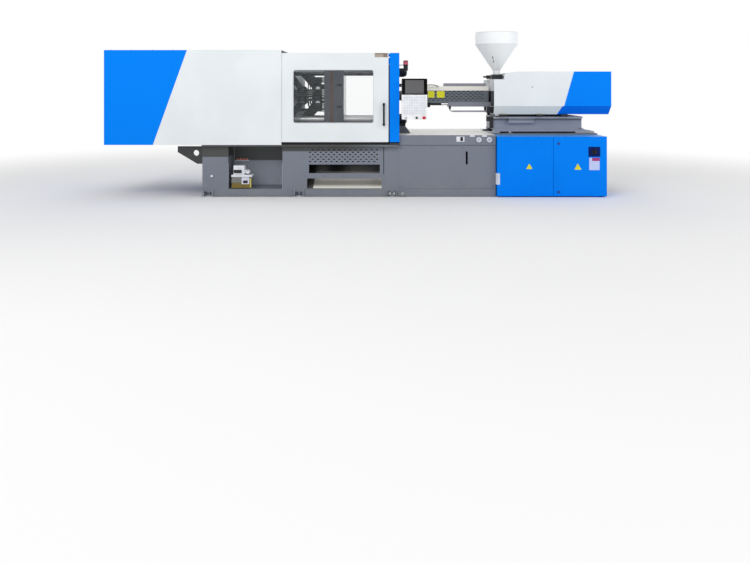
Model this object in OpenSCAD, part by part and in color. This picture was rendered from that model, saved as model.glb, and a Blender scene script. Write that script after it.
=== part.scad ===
// Injection moulding machine with a double toggle clamp.
// X runs from the clamp to the injection unit, the operator stands at -Y, the floor is Z = 0.

/* [Overall] */
// Length over the clamp cover and the injection housing
machine_l = 6184; // [6100:1:7600]
// Width over the side covers
machine_w = 1500; // [1300:1:1900]
// Height of the mould axis above the floor
axis_h = 1213; // [1190:1:1500]
// Thickness of the cover sheets
sheet = 3; // [2:0.5:5]

/* [Beds] */
// Height of the clamp bed
bed_h = 628; // [560:1:640]
// Height of the deck of the injection bed
deck_h = 744; // [700:1:760]
// Height of the bottom rail
rail_h = 94; // [80:1:130]
// Length of the clamp bed
clamp_bed_l = 2363; // [2330:1:2400]
// Overhang of the clamp cover past the clamp bed
cover_overhang = 1170; // [1100:1:1200]
// Inset of the bed's sides behind the side covers
bed_inset = 50; // [40:1:70]
// Thickness of the bed plates
bed_plate = 16; // [12:1:22]
// Width of the bay for the lubrication pump
bay_w = 652; // [500:1:700]
// Width of the chute opening
chute_w = 910; // [700:1:920]

/* [Clamp unit] */
// Width and height of the platens
platen_w = 800; // [780:1:840]
// Thickness of the fixed platen
fixed_t = 215; // [180:1:230]
// Thickness of the moving platen
moving_t = 244; // [200:1:260]
// Thickness of the rear platen
rear_t = 200; // [160:1:230]
// Opening between the mould faces
daylight = 458; // [420:1:480]
// Diameter of a tie bar
tie_d = 70; // [60:1:84]
// Distance between the tie bar centres
tie_pitch = 594; // [580:1:610]
// Length of a toggle link between its pins
link_l = 410; // [400:1:420]
// Angle of the links to the mould axis
link_angle = 48; // [46:0.5:52]
// Distance from the mould axis to a platen's pin
pivot_off = 90; // [84:1:94]
// Diameter of the toggle pins
pin_d = 56; // [48:1:60]
// Thickness of one link plate
link_t = 50; // [44:1:50]
// Spacing of the four mould bolts
mould_pitch = 350; // [300:1:420]
// Diameter of the locating hole
locating_d = 125; // [110:1:160]

/* [Covers and doors] */
// Length of the clamp cover
cover_l = 2130; // [2100:1:2160]
// Height of the clamp cover above the mould axis
cover_up = 555; // [550:1:640]
// Width of a sliding door
door_w = 1286; // [1200:1:1300]
// Height of a sliding door
door_h = 1071; // [1000:1:1090]
// Thickness of a sliding door
door_t = 36; // [28:1:40]
// Width of a door window
window_w = 963; // [800:1:980]
// Height of a door window
window_h = 636; // [560:1:660]
// Width of a guard pillar
pillar_w = 115; // [90:1:116]
// Length of a door handle
handle_l = 275; // [220:1:330]

/* [Injection unit] */
// Length of the injection housing
housing_l = 1453; // [1440:1:1500]
// Width of the injection housing
housing_w = 900; // [860:1:940]
// Height of the injection housing
housing_h = 532; // [520:1:560]
// Outer diameter of the barrel
barrel_d = 124; // [110:1:136]
// Diameter of the screw
screw_d = 50; // [40:1:60]
// Length of the carriage base
base_l = 1116; // [1080:1:1140]
// Width of the carriage base
base_w = 660; // [600:1:680]
// Diameter of the hopper
hopper_d = 544; // [460:1:560]
// Height of the hopper's cylinder
hopper_ring_h = 153; // [120:1:200]
// Height of the hopper's cone
hopper_cone_h = 339; // [300:1:400]

/* [Cabinet and panel] */
// Width of the electrical cabinet
cabinet_w = 1318; // [1280:1:1330]
// Height of the electrical cabinet's top
cabinet_top = 728; // [600:1:740]
// Width of the control panel
panel_w = 303; // [280:1:320]
// Height of the control panel
panel_h = 486; // [460:1:500]
// Thickness of the control panel
panel_t = 60; // [50:1:80]

/* [Fits] */
// Radial clearance of a running fit
run_fit = 0.08; // [0.03:0.01:0.1]
// Gap between pieces that slide or seat
seat_gap = 0.3; // [0.2:0.1:0.5]

/* [Hidden] */
$fn = 48;

// Side planes, measured from the mould axis
half_w = machine_w / 2;
bed_y = half_w - bed_inset;
panel_front = half_w + 80;
knob_front = panel_front + 28;
handle_reach = 45;
// The origin lies midway between the control panel's knob and the rear door's handle
axis_y = (knob_front - (half_w + handle_reach - 9)) / 2;

// Stations along the clamp unit
x_left = -machine_l / 2;
x_right = machine_l / 2;
x_bed = x_left + cover_overhang;
x_join = x_bed + clamp_bed_l;
x_cover = x_left + cover_l;
x_door = x_cover + door_w;
x_pillar = x_door + 15;
x_pillar_end = x_pillar + pillar_w;
x_fixed_end = x_pillar_end - 9;
x_fixed = x_fixed_end - fixed_t;
x_moving_end = x_fixed - daylight;
x_moving = x_moving_end - moving_t;
x_bay = x_cover + 5 - bay_w;
x_chute_end = x_fixed + 32;
x_chute = x_chute_end - chute_w - 40;

// Toggle
ear_reach = 88;
ear_r = 58;
pin_r = pin_d / 2;
link_z = link_l * sin(link_angle);
x_front_pin = x_moving - ear_reach;
x_knee = x_front_pin - link_l * cos(link_angle);
x_rear_pin = x_knee - link_l * cos(link_angle);
x_rear_end = x_rear_pin - ear_reach;
x_rear = x_rear_end - rear_t;
// Lanes of the plates on each side of the mould axis, from the middle outwards
lane_gap = 2;
lane_cross = 66;
lane_rear = lane_cross + link_t + 2 * lane_gap;
lane_front = lane_rear + link_t + lane_gap;
lane_outer = lane_front + link_t + lane_gap;
// The crosshead links meet the rear links here, along the rear link from its platen pin
cross_at = 250;
cross_pin_r = 20;
x_cross_pin = x_rear_pin + cross_at * cos(link_angle);
z_cross_pin = pivot_off + cross_at * sin(link_angle);
x_crosshead = x_cross_pin + 165;
crosshead_off = 64;
// Play of the open knee and of the open crosshead eyes
knee_play = 17;
eye_play = 19;
rod_r = 35;
cylinder_r = 60;

// Covers and doors
cover_top = axis_h + cover_up;
sill_h = bed_h + 22;
door_z = sill_h + 12;
door_top = door_z + door_h;
door_y = half_w - 3 * sheet;
window_x = x_door - 181 - window_w;
window_z = door_top - 204 - window_h;
window_r = 27;
handle_x = x_door - 57;
handle_z = door_z + 196;

// Injection unit
x_housing = x_right - housing_l;
housing_z = axis_h - 228;
housing_top = housing_z + housing_h;
housing_y = housing_w / 2;
x_base = x_housing + 13;
base_top = deck_h + 210;
carriage_rail_h = 22;
x_feed = x_housing + 11;
feed_l = 180;
x_feed_end = x_feed + feed_l;
feed_top = axis_h + 212;
x_hopper = x_housing + 100;
x_barrel = x_fixed_end + 15;
barrel_r = barrel_d / 2;
screw_r = screw_d / 2 - run_fit;
x_nozzle = x_fixed + 75;
x_guard = x_pillar_end + 170;
x_guard_end = x_housing - 24;
x_flange = x_guard_end + seat_gap;
x_drive = x_feed_end + 320;
drive_t = 80;
drive_rod_y = 220;
drive_rod_r = 25;
hopper_z = feed_top + 62;
neck_h = 51;
hopper_r = hopper_d / 2;
cone_z = hopper_z + neck_h;
ring_z = cone_z + hopper_cone_h;
hopper_top = ring_z + hopper_ring_h;

// Cabinet
x_cabinet_end = x_right - 146;
x_cabinet = x_cabinet_end - cabinet_w;
cabinet_z = 10;
cabinet_y = base_w / 2 + 20;
cabinet_door_t = 24;
x_injection_end = x_cabinet_end + 4;
inner_bed_y = cabinet_y - seat_gap;

// Control panel
x_panel = x_pillar_end + 26;
panel_z = axis_h - 275;
panel_back = panel_front - panel_t;
x_swivel = x_panel + 10;
y_swivel = 18 - panel_back;

// Frame of the whole machine, with the mould axis at Y = 0 inside
module placed() {
    translate([0, axis_y, 0]) children();
}

// A block between two opposite corners
module block(low, high) {
    translate(low) cube(high - low);
}

// A round bar along X, Y or Z between two stations
module bar_x(x0, x1, r, y = 0, z = 0) {
    translate([x0, y, z]) rotate([0, 90, 0]) cylinder(h = x1 - x0, r = r);
}

module bar_y(y0, y1, r, x = 0, z = 0) {
    translate([x, y1, z]) rotate([90, 0, 0]) cylinder(h = y1 - y0, r = r);
}

module bar_z(z0, z1, r, x = 0, y = 0) {
    translate([x, y, z0]) cylinder(h = z1 - z0, r = r);
}

// A profile drawn in X and Z, thick from y0 to y1
module across(y0, y1) {
    translate([0, y1, 0]) rotate([90, 0, 0]) linear_extrude(y1 - y0) children();
}

// A profile drawn in Y and Z, drawn out from x0 to x1
module along(x0, x1) {
    translate([x0, 0, 0]) rotate([90, 0, 90]) linear_extrude(x1 - x0) children();
}

// The same thing on both sides of the mould axis
module both_sides() {
    children();
    mirror([0, 1, 0]) children();
}

// Places of the four tie bars
module at_tie_bars() {
    for (y = [-1, 1], z = [-1, 1])
        translate([0, y * tie_pitch / 2, axis_h + z * tie_pitch / 2]) children();
}

// Outline with round corners, from corner to corner
module rounded(low, high, r) {
    field([low[0] + r, low[1]], [high[0] - r, high[1]]);
    field([low[0], low[1] + r], [high[0], high[1] - r]);
    for (x = [low[0] + r, high[0] - r], y = [low[1] + r, high[1] - r]) translate([x, y]) circle(r = r);
}

// A rectangle between two corners
module field(low, high) {
    translate(low) square(high - low);
}

// A lying oblong hole with round ends
module oblong(half_l, r) {
    field([-half_l + r, -r], [half_l - r, r]);
    for (x = [-half_l + r, half_l - r]) translate([x, 0]) circle(r = r, $fn = 16);
}

// Clamp bed

module clamp_bed_side() {
    across(-bed_y, -bed_y + bed_plate) difference() {
        field([x_bed, rail_h], [x_join - seat_gap, bed_h - 20]);
        field([x_bay, rail_h], [x_bay + bay_w, bed_h - 20]);
        field([x_chute + 20, rail_h], [x_chute_end - 20, bed_h - 40]);
    }
}

module bottom_rail(x0, x1, y) {
    difference() {
        block([x0, -y, 6], [x1, -y + 110, rail_h]);
        for (x = foot_x)
            if (x > x0 && x < x1) block([x - 60, -y - 1, 5], [x + 60, -y + 111, 60]);
    }
}

module lifting_bracket() {
    across(-bed_y, -bed_y + 30) difference() {
        polygon([
            [x_bed - 297, bed_h - 20], [x_bed, bed_h - 20], [x_bed, bed_h - 231],
            [x_bed - 60, bed_h - 231], [x_bed - 297, bed_h - 90]
        ]);
        translate([x_bed - 75, bed_h - 100]) circle(r = 35);
    }
}

module clamp_bed() {
    placed() color("#7a7f8c") {
        both_sides() clamp_bed_side();
        both_sides() bottom_rail(x_bed, x_join - seat_gap, bed_y);
        both_sides() lifting_bracket();
        difference() {
            block([x_bed, -half_w + 8, bed_h - 20], [x_join - seat_gap, half_w - 8, bed_h]);
            block([x_moving - 120, -250, bed_h - 21], [x_fixed - 40, 250, bed_h + 1]);
        }
        for (x = [x_bed, x_bay - 24, x_bay + bay_w, x_chute, x_chute_end - 20, x_join - 20 - seat_gap])
            block([x, -bed_y, rail_h], [x + 20, bed_y, bed_h - 20]);
        block([x_bay, -300, rail_h], [x_bay + bay_w, -300 + bed_plate, bed_h - 20]);
        block([x_bay - 20, -bed_y, rail_h - 8], [x_bay + bay_w + 20, -300 + bed_plate, rail_h]);
    }
}

foot_x = [x_bed + 72, x_cover + 206, x_join - 73, x_join + 1240, x_injection_end - 110];

module levelling_feet() {
    placed() color("#3c3e42")
        for (x = foot_x) for (y = [-1, 1]) {
            foot_y = y < 0 && x > x_cabinet ? -inner_bed_y + 55 : y * (bed_y - 55);
            translate([x, foot_y, 0]) {
                cylinder(h = 14, r = 50);
                cylinder(h = 60, r = 12);
                translate([0, 0, 46]) cylinder(h = 14, r = 22, $fn = 6);
            }
        }
}

module vent_panel() {
    rows = 6;
    columns = 13;
    pitch_x = 840 * (chute_w / 910) / columns;
    pitch_z = 28;
    placed() color("#474848") across(-bed_y - sheet, -bed_y) difference() {
        field([x_chute - 20, rail_h - 2], [x_chute_end, bed_h - 21]);
        for (row = [0:rows - 1], column = [0:columns - 1])
            translate([x_chute + 66 + (column + (row % 2) / 2) * pitch_x, 425 + row * pitch_z]) oblong(14, 5.5);
        field([x_chute + 53, 284], [x_chute_end - 42, 389]);
        field([x_chute + 30, rail_h + 6], [x_chute_end - 20, 221]);
    }
}

module discharge_chute() {
    x0 = x_chute + 20 + seat_gap;
    x1 = x_chute_end - 20 - seat_gap;
    y0 = -bed_y + 2;
    y1 = bed_y - bed_plate - 20;
    z0 = rail_h + 12;
    z1 = bed_h - 60;
    placed() color("#c4c2bc") {
        along(x0, x1) polygon([[y0, z0], [y1, z1], [y1, z1 - 3], [y0, z0 - 3]]);
        for (x = [x0, x1 - 3])
            along(x, x + 3) polygon([[y0, z0], [y1, z1], [y1, z1 + 35], [y0, z0 + 35]]);
    }
}

// Injection bed

module injection_frame(x0, x1, y_front) {
    // deck, top rails, end plates and bottom rails of one stretch
    block([x0, -y_front, deck_h - 24], [x1, bed_y, deck_h]);
    block([x0, -y_front, deck_h - 121], [x1, -y_front + 40, deck_h - 24]);
    block([x0, bed_y - 40, deck_h - 121], [x1, bed_y, deck_h - 24]);
    bottom_rail(x0, x1, y_front);
    mirror([0, 1, 0]) bottom_rail(x0, x1, bed_y);
    for (x = [x0, x1 - 20]) block([x, -y_front + 12, rail_h - 30], [x + 20, bed_y - 12, deck_h - 24]);
    for (x = [x0 + 180, x0 + 560, x0 + 880]) block([x, -y_front + 100, 20], [x + 60, bed_y - 100, rail_h - 30]);
}

module injection_bed() {
    placed() color("#7a7f8c") {
        injection_frame(x_join, x_cabinet - 10, bed_y);
        injection_frame(x_cabinet - 10, x_injection_end, inner_bed_y);
    }
}

module side_panels() {
    slot_x = x_cabinet - 371;
    placed() color("#7a7f8c") {
        across(-bed_y + 4, -bed_y + 4 + sheet) difference() {
            field([x_join, rail_h + 1], [x_cabinet - 10, deck_h - 126]);
            field([slot_x, 390], [slot_x + 24, 545]);
        }
        across(bed_y - 4 - sheet, bed_y - 4) difference() {
            field([x_join, rail_h + 1], [x_injection_end, deck_h - 126]);
            for (row = [0:5]) field([x_injection_end - 520, 250 + 44 * row], [x_injection_end - 220, 262 + 44 * row]);
        }
    }
}

module slide_rails() {
    placed() color("#9a9ca0") {
        both_sides() block([x_bed + 40, 300, bed_h], [x_fixed - 20, 380, bed_h + 20]);
        both_sides() block([x_base - 60, 220, deck_h], [x_injection_end - 20, 280, deck_h + carriage_rail_h]);
    }
}

module hydraulic_unit() {
    x0 = x_join + 120;
    placed() color("#5f666e") {
        block([x0, -420, rail_h - 30], [x0 + 620, 420, 380]);
        bar_x(x0 + 660, x0 + 980, 110, 0, 300);
        block([x0 + 700, -120, rail_h - 30], [x0 + 940, 120, 200]);
        bar_x(x0 + 620, x0 + 660, 70, 0, 300);
    }
}

// Tie bars and platens

module tie_bars() {
    placed() color("#c9ccd0") at_tie_bars() bar_x(x_rear - 300, x_fixed_end + 118, tie_d / 2);
}

module tie_bar_nuts() {
    placed() color("#1f3568") at_tie_bars() difference() {
        bar_x(x_fixed_end, x_fixed_end + 105, tie_d / 2 + 17);
        bar_x(x_fixed_end - 1, x_fixed_end + 106, tie_d / 2 + run_fit);
    }
}

module adjusting_nuts() {
    placed() color("#4d5258") at_tie_bars() difference() {
        bar_x(x_rear - 90, x_rear, tie_d / 2 + 28);
        bar_x(x_rear - 91, x_rear + 1, tie_d / 2 + run_fit);
    }
}

// Cast plate with round corners and its four tie bar holes
module platen(x0, x1) {
    difference() {
        along(x0, x1) rounded([-platen_w / 2, axis_h - platen_w / 2], [platen_w / 2, axis_h + platen_w / 2], 70);
        at_tie_bars() bar_x(x0 - 1, x1 + 1, tie_d / 2 + run_fit);
    }
}

module mould_holes(x0, x1) {
    for (y = [-1, 1], z = [-1, 1])
        bar_x(x0, x1, 10, y * mould_pitch / 2, axis_h + z * mould_pitch / 2);
}

// Foot that carries a sliding platen on the ways
module shoe(x0, x1) {
    foot_z = bed_h + 20 + seat_gap;
    body_z = axis_h - platen_w / 2;
    both_sides() across(295, 385) polygon([
        [x0 - 45, foot_z], [x1 + 45, foot_z], [x1 + 45, foot_z + 30],
        [x1, foot_z + 80], [x1, body_z + 60], [x0, body_z + 60], [x0, foot_z + 80], [x0 - 45, foot_z + 30]
    ]);
}

module fixed_platen() {
    placed() color("#34363a") {
        difference() {
            platen(x_fixed, x_fixed_end);
            mould_holes(x_fixed - 1, x_fixed + 40);
            bar_x(x_fixed - 1, x_fixed_end + 1, locating_d / 2, 0, axis_h);
            translate([x_fixed + 60, 0, axis_h]) rotate([0, 90, 0])
                cylinder(h = fixed_t - 59, r1 = locating_d / 2, r2 = locating_d / 2 + 50);
        }
        both_sides() block([x_fixed, 230, bed_h], [x_fixed_end - 6, 385, axis_h - platen_w / 2 + 60]);
        both_sides() across(235, 330) polygon([
            [x_fixed_end, deck_h], [x_fixed_end + 157, deck_h], [x_fixed_end + 157, deck_h + 12],
            [x_fixed_end + 112, deck_h + 72], [x_fixed_end - 1, deck_h + 92], [x_fixed_end - 6, deck_h]
        ]);
    }
}

// Ears for a pin, flanking one lane of link plates
module ears(x_pin, x_face, inner, outer) {
    for (z = [-1, 1])
        both_sides() for (lane = [inner, outer])
            across(lane, lane + link_t) difference() {
                union() {
                    translate([x_pin, axis_h + z * pivot_off]) circle(r = ear_r);
                    field([min(x_pin, x_face), axis_h + z * pivot_off - ear_r],
                        [max(x_pin, x_face), axis_h + z * pivot_off + ear_r]);
                }
                translate([x_pin, axis_h + z * pivot_off]) circle(r = pin_r + 0.02);
            }
}

module moving_platen() {
    placed() color("#34363a") {
        difference() {
            platen(x_moving, x_moving_end);
            mould_holes(x_moving_end - 40, x_moving_end + 1);
            block([x_moving - 1, -110, axis_h - 110], [x_moving + 90, 110, axis_h + 110]);
            for (y = [-1, 1], z = [-1, 1]) {
                bar_x(x_moving, x_moving_end + 1, 13 + run_fit, y * 70, axis_h + z * 70);
                block([x_moving - 1, y * 190 - 36, axis_h + z * 300 - 60],
                    [x_moving + 120, y * 190 + 36, axis_h + z * 300 + 60]);
            }
            // groove and pockets in the platen's two sides
            both_sides() block([x_moving + 70, 388, axis_h - 110], [x_moving + 112, 401, axis_h + 401]);
            both_sides() for (z = [-1, 1])
                block([x_moving_end - 88, 376, axis_h + z * 136 - 11], [x_moving_end - 26, 401, axis_h + z * 136 + 11]);
        }
        // webs between the ears
        both_sides() across(lane_outer, lane_outer + link_t)
            field([x_front_pin - 30, axis_h - pivot_off + 34], [x_moving - 34, axis_h + pivot_off - 34]);
        // cylinder of the ejector on its yoke
        both_sides() block([x_moving - 115, 104, axis_h - 60], [x_moving + 1, 117, axis_h + 60]);
        difference() {
            union() {
                block([x_moving - 115, -105, axis_h - 60], [x_moving - 88, 105, axis_h + 60]);
                bar_x(x_moving - 180, x_moving - 114, 55, 0, axis_h);
            }
            bar_x(x_moving - 176, x_moving - 87, 20 + run_fit, 0, axis_h);
        }
        shoe(x_moving, x_moving_end);
        ears(x_front_pin, x_moving, lane_rear, lane_outer);
    }
}

module rear_platen() {
    placed() color("#34363a") {
        difference() {
            platen(x_rear, x_rear_end);
            bar_x(x_rear - 1, x_rear_end + 1, rod_r + run_fit, 0, axis_h);
        }
        shoe(x_rear, x_rear_end);
        ears(x_rear_pin, x_rear_end, lane_cross - lane_gap, lane_front);
    }
}

module rear_pins() {
    placed() color("#b6b9bd") for (z = [-1, 1])
        both_sides() bar_y(lane_cross - lane_gap, lane_front + link_t, pin_r, x_rear_pin, axis_h + z * pivot_off);
}

module front_pins() {
    placed() color("#b6b9bd") for (z = [-1, 1])
        both_sides() bar_y(lane_rear, lane_outer + link_t, pin_r, x_front_pin, axis_h + z * pivot_off);
}

module ejector() {
    placed() color("#8a8d92") {
        block([x_moving - 40, -100, axis_h - 100], [x_moving - 12, 100, axis_h + 100]);
        for (y = [-1, 1], z = [-1, 1])
            bar_x(x_moving - 12, x_moving_end - 20, 13, y * 70, axis_h + z * 70);
        bar_x(x_moving - 70, x_moving - 40, 40, 0, axis_h);
        bar_x(x_moving - 172, x_moving - 69, 20, 0, axis_h);
    }
}

// Toggle links

// Outline of a link lying along its own X axis, with an eye at each end
module link_outline(length, r0, r1, waist) {
    circle(r = r0);
    translate([length, 0]) circle(r = r1);
    polygon([[0, -waist], [length, -waist * 0.9], [length, waist * 0.9], [0, waist]]);
}

// Rear link: two plates, a web, the knee pin and two stub pins for the crosshead links
module rear_link() {
    translate([x_rear_pin, 0, pivot_off]) rotate([0, -link_angle, 0]) {
        both_sides() across(lane_rear, lane_rear + link_t) difference() {
            link_outline(link_l, 56, 60, 50);
            circle(r = pin_r + run_fit);
        }
        block([320, -lane_rear - 1, -24], [355, lane_rear + 1, 24]);
        bar_y(-lane_front - link_t, lane_front + link_t, pin_r, link_l, 0);
        both_sides() bar_y(lane_cross, lane_rear + 1, cross_pin_r, cross_at, 0);
    }
}

// Front link: its knee eye is a slot, which takes up the play of the open knee
module front_link() {
    knee_r = pin_r + 7;
    translate([x_front_pin, 0, pivot_off]) rotate([0, link_angle - 180, 0]) {
        both_sides() across(lane_front, lane_front + link_t) difference() {
            link_outline(link_l, 56, 74, 54);
            circle(r = pin_r + run_fit);
            translate([link_l, 0]) rotate(link_angle) hull() {
                circle(r = knee_r, $fn = 32);
                translate([knee_play, 0]) circle(r = knee_r, $fn = 32);
            }
        }
        block([86, -lane_front - 1, -22], [136, lane_front + 1, 22]);
    }
}

module crosshead_link() {
    angle = atan2(z_cross_pin - crosshead_off, x_cross_pin - x_crosshead);
    length = norm([z_cross_pin - crosshead_off, x_cross_pin - x_crosshead]);
    translate([x_crosshead, 0, crosshead_off]) rotate([0, -angle, 0])
        both_sides() across(lane_cross, lane_cross + link_t) difference() {
            link_outline(length, 58, 42, 32);
            circle(r = cross_pin_r + eye_play);
            translate([length, 0]) circle(r = cross_pin_r + run_fit);
        }
}

module upper() {
    placed() translate([0, 0, axis_h]) children();
}

module lower() {
    placed() translate([0, 0, axis_h]) mirror([0, 0, 1]) children();
}

module rear_link_upper() { upper() color("#17181a") rear_link(); }
module rear_link_lower() { lower() color("#17181a") rear_link(); }
module front_link_upper() { upper() color("#17181a") front_link(); }
module front_link_lower() { lower() color("#17181a") front_link(); }
module crosshead_link_upper() { upper() color("#26282b") crosshead_link(); }
module crosshead_link_lower() { lower() color("#26282b") crosshead_link(); }

// Crosshead with its rod and piston
module crosshead() {
    placed() color("#6c7075") {
        block([x_crosshead - 65, -lane_cross + 4, axis_h - 98], [x_crosshead + 65, lane_cross - 4, axis_h + 98]);
        for (z = [-1, 1])
            bar_y(-lane_cross - link_t, lane_cross + link_t, cross_pin_r, x_crosshead, axis_h + z * crosshead_off);
        bar_x(x_rear - 260, x_crosshead - 60, rod_r, 0, axis_h);
        bar_x(x_rear - 260, x_rear - 200, cylinder_r - run_fit, 0, axis_h);
    }
}

module clamp_cylinder() {
    placed() color("#3f464d") difference() {
        union() {
            bar_x(x_rear - 40, x_rear, 130, 0, axis_h);
            bar_x(x_rear - 560, x_rear - 39, 96, 0, axis_h);
            bar_x(x_rear - 590, x_rear - 540, 112, 0, axis_h);
        }
        bar_x(x_rear - 540, x_rear - 25, cylinder_r, 0, axis_h);
        bar_x(x_rear - 60, x_rear + 1, rod_r + run_fit, 0, axis_h);
    }
}

// Covers, guards and doors

// One side sheet of the clamp cover, with returns along its top, bottom and free end
module cover_side() {
    difference() {
        block([x_left, -half_w, bed_h], [x_cover, -half_w + 25, cover_top - sheet - seat_gap]);
        block([x_left + sheet, -half_w + sheet, bed_h + sheet],
            [x_cover + 1, -half_w + 26, cover_top - 2 * sheet - seat_gap]);
    }
}

module clamp_cover() {
    placed() color("#e8edf0") {
        both_sides() cover_side();
        block([x_left, -half_w, cover_top - sheet], [x_cover, half_w, cover_top]);
        block([x_left, -half_w + 25 + seat_gap, bed_h],
            [x_left + sheet, half_w - 25 - seat_gap, cover_top - sheet - seat_gap]);
    }
}

// One side of the guard: pillar, sill, door rail and the guide behind the door's top
module guard_side() {
    block([x_pillar, -half_w, bed_h], [x_pillar_end, -bed_y, door_top]);
    block([x_bed + 20, -bed_y - 22, bed_h], [x_pillar, -bed_y, sill_h]);
    block([x_bed + 20, -door_y + 11, sill_h], [x_pillar, -door_y + 25, door_z - seat_gap]);
    block([x_bed - 140, -door_y + door_t + seat_gap, door_top - 43],
        [x_pillar, -door_y + door_t + 22, door_top - 6]);
}

module guard_frame() {
    placed() color("#0084fa") {
        both_sides() guard_side();
        block([x_pillar_end - 60, -bed_y, door_top - 80], [x_pillar_end, bed_y, door_top]);
    }
}

// A profile drawn in X and Z, thick between two depths of the front (side = -1) or the rear (side = 1)
module across_side(side, outer, inner) {
    across(min(side * outer, side * inner), max(side * outer, side * inner)) children();
}

// Outline of the door window, grown by an edge
module window_field(edge) {
    rounded([window_x - edge, window_z - edge], [window_x + window_w + edge, window_z + window_h + edge],
        window_r + edge);
}

// Folded door leaf with its window frame, open towards the mould
module door_leaf(side) {
    rim = 18;
    inner_y = door_y - door_t;
    grip_y = door_y + handle_reach - 11;
    across_side(side, door_y, door_y - sheet) difference() {
        field([x_cover, door_z], [x_door, door_top]);
        window_field(0);
    }
    across_side(side, door_y - sheet + 0.5, inner_y) difference() {
        field([x_cover, door_z], [x_door, door_top]);
        field([x_cover + sheet, door_z + sheet], [x_door - sheet, door_top - sheet]);
    }
    across_side(side, door_y - sheet + 0.5, inner_y) difference() {
        window_field(rim + sheet);
        window_field(rim);
    }
    // bar handle on its two bosses
    bar_z(handle_z + 15, handle_z + handle_l - 15, 11, handle_x, side * grip_y);
    for (z = [handle_z + 15, handle_z + handle_l - 15])
        across_side(side, door_y + handle_reach, door_y - 1) translate([handle_x, z]) circle(r = 15);
}

module door_pane(side) {
    across_side(side, door_y - sheet, door_y - sheet - 6) window_field(18 - seat_gap);
}

module front_door() { placed() color("#eceff1") door_leaf(-1); }
module rear_door() { placed() color("#eceff1") door_leaf(1); }
module front_window() { placed() color("#d8e4ea", 0.4) door_pane(-1); }
module rear_window() { placed() color("#d8e4ea", 0.4) door_pane(1); }

module beacon_base() {
    placed() color("#1b1c1e") {
        block([x_pillar_end, -bed_y - 12, axis_h + 369], [x_pillar_end + 78, -bed_y + 12, axis_h + 381]);
        bar_z(axis_h + 307, axis_h + 369, 27, x_pillar_end + 78, -bed_y);
        bar_z(axis_h + 369, axis_h + 382, 30, x_pillar_end + 78, -bed_y);
    }
}

module beacon_lens() {
    placed() color("#c32d46") translate([x_pillar_end + 78, -bed_y, axis_h + 382]) rotate_extrude() polygon([
        [0, 0], [28, 0], [28, 46], [24, 50], [0, 51]
    ]);
}

// Control panel on its swivel arm

module panel_arm() {
    z0 = panel_z + panel_h - 100;
    placed() color("#2b2d30") difference() {
        union() {
            block([x_pillar_end, y_swivel + 8, z0], [x_swivel + 12, y_swivel + 36, z0 + 40]);
            bar_z(z0, z0 + 40, 16, x_swivel, y_swivel);
        }
        bar_z(z0 - 1, z0 + 41, 8 + run_fit, x_swivel, y_swivel);
    }
}

module control_panel() {
    z0 = panel_z + panel_h - 100;
    y0 = -panel_front;
    buttons_z = panel_z + 19;
    placed() color("#f0f0f3") difference() {
        union() {
            across(y0, -panel_back) rounded([x_panel, panel_z], [x_panel + panel_w, panel_z + panel_h], 10);
            bar_z(z0 - 30, z0 + 70, 8, x_swivel, y_swivel);
            for (z = [z0 - 28, z0 + 42])
                block([x_swivel - 12, -panel_back - 1, z], [x_swivel + 12, y_swivel + 12, z + 26]);
        }
        across(y0 - 1, y0 + 3) rounded([x_panel + 39, panel_z + 307], [x_panel + 263, panel_z + 469], 4);
        bar_y(y0 - 1, y0 + 40, 7 + run_fit, x_panel + 52, buttons_z);
        bar_y(y0 - 1, y0 + 40, 8 + run_fit, x_panel + 177, buttons_z);
        bar_y(y0 - 1, y0 + 40, 8 + run_fit, x_panel + 264, buttons_z);
    }
}

// A push button or knob: a stem in its hole and a head in front of the panel
module panel_button(x, stem_r, head) {
    placed() translate([x_panel + x, -panel_front, panel_z + 19]) rotate([90, 0, 0]) {
        translate([0, 0, -30]) cylinder(h = 39, r = stem_r);
        rotate_extrude() polygon(head);
    }
}

module e_stop() {
    color("#c32d46") panel_button(264, 8, [[0, 8], [12, 8], [19, 14], [19, 20], [14, 26], [0, 28]]);
}

module grey_button() {
    color("#8e9094") panel_button(52, 7, [[0, 4], [9, 4], [9, 10], [8, 11], [0, 11]]);
}

module selector_knob() {
    color("#1c1d1f") {
        panel_button(177, 8, [[0, 1], [13, 1], [13, 12], [0, 12]]);
        placed() block([x_panel + 173, -panel_front - 20, panel_z + 7], [x_panel + 181, -panel_front - 11, panel_z + 31]);
    }
}

// Lubrication pump in the bay of the clamp bed

module lubrication_pump() {
    x = x_bay + 60;
    y = -bed_y + 20;
    placed() color("#dfe2e4") {
        block([x, y, 261], [x + 130, y + 110, 372]);
        bar_y(y - 14, y + 10, 24, x + 178, 299);
        block([x + 120, y + 8, 278], [x + 190, y + 60, 320]);
        block([x - 26, y - 6, 238], [x + 222, y + 120, 261]);
        block([x + 40, y + 110, 280], [x + 100, -300, 340]);
        // outlet block on the back plate
        block([x - 46, -332, 394], [x + 126, -300, 408]);
        for (i = [0:3]) bar_z(407, 424, 9, x - 16 + 37 * i, -316);
    }
}

module oil_reservoir() {
    x = x_bay + 38;
    y = -bed_y + 18;
    placed() color("#d6cf6a", 0.6) block([x, y, rail_h + 8], [x + 216, y + 114, 238]);
}

// Electrical cabinet

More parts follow.
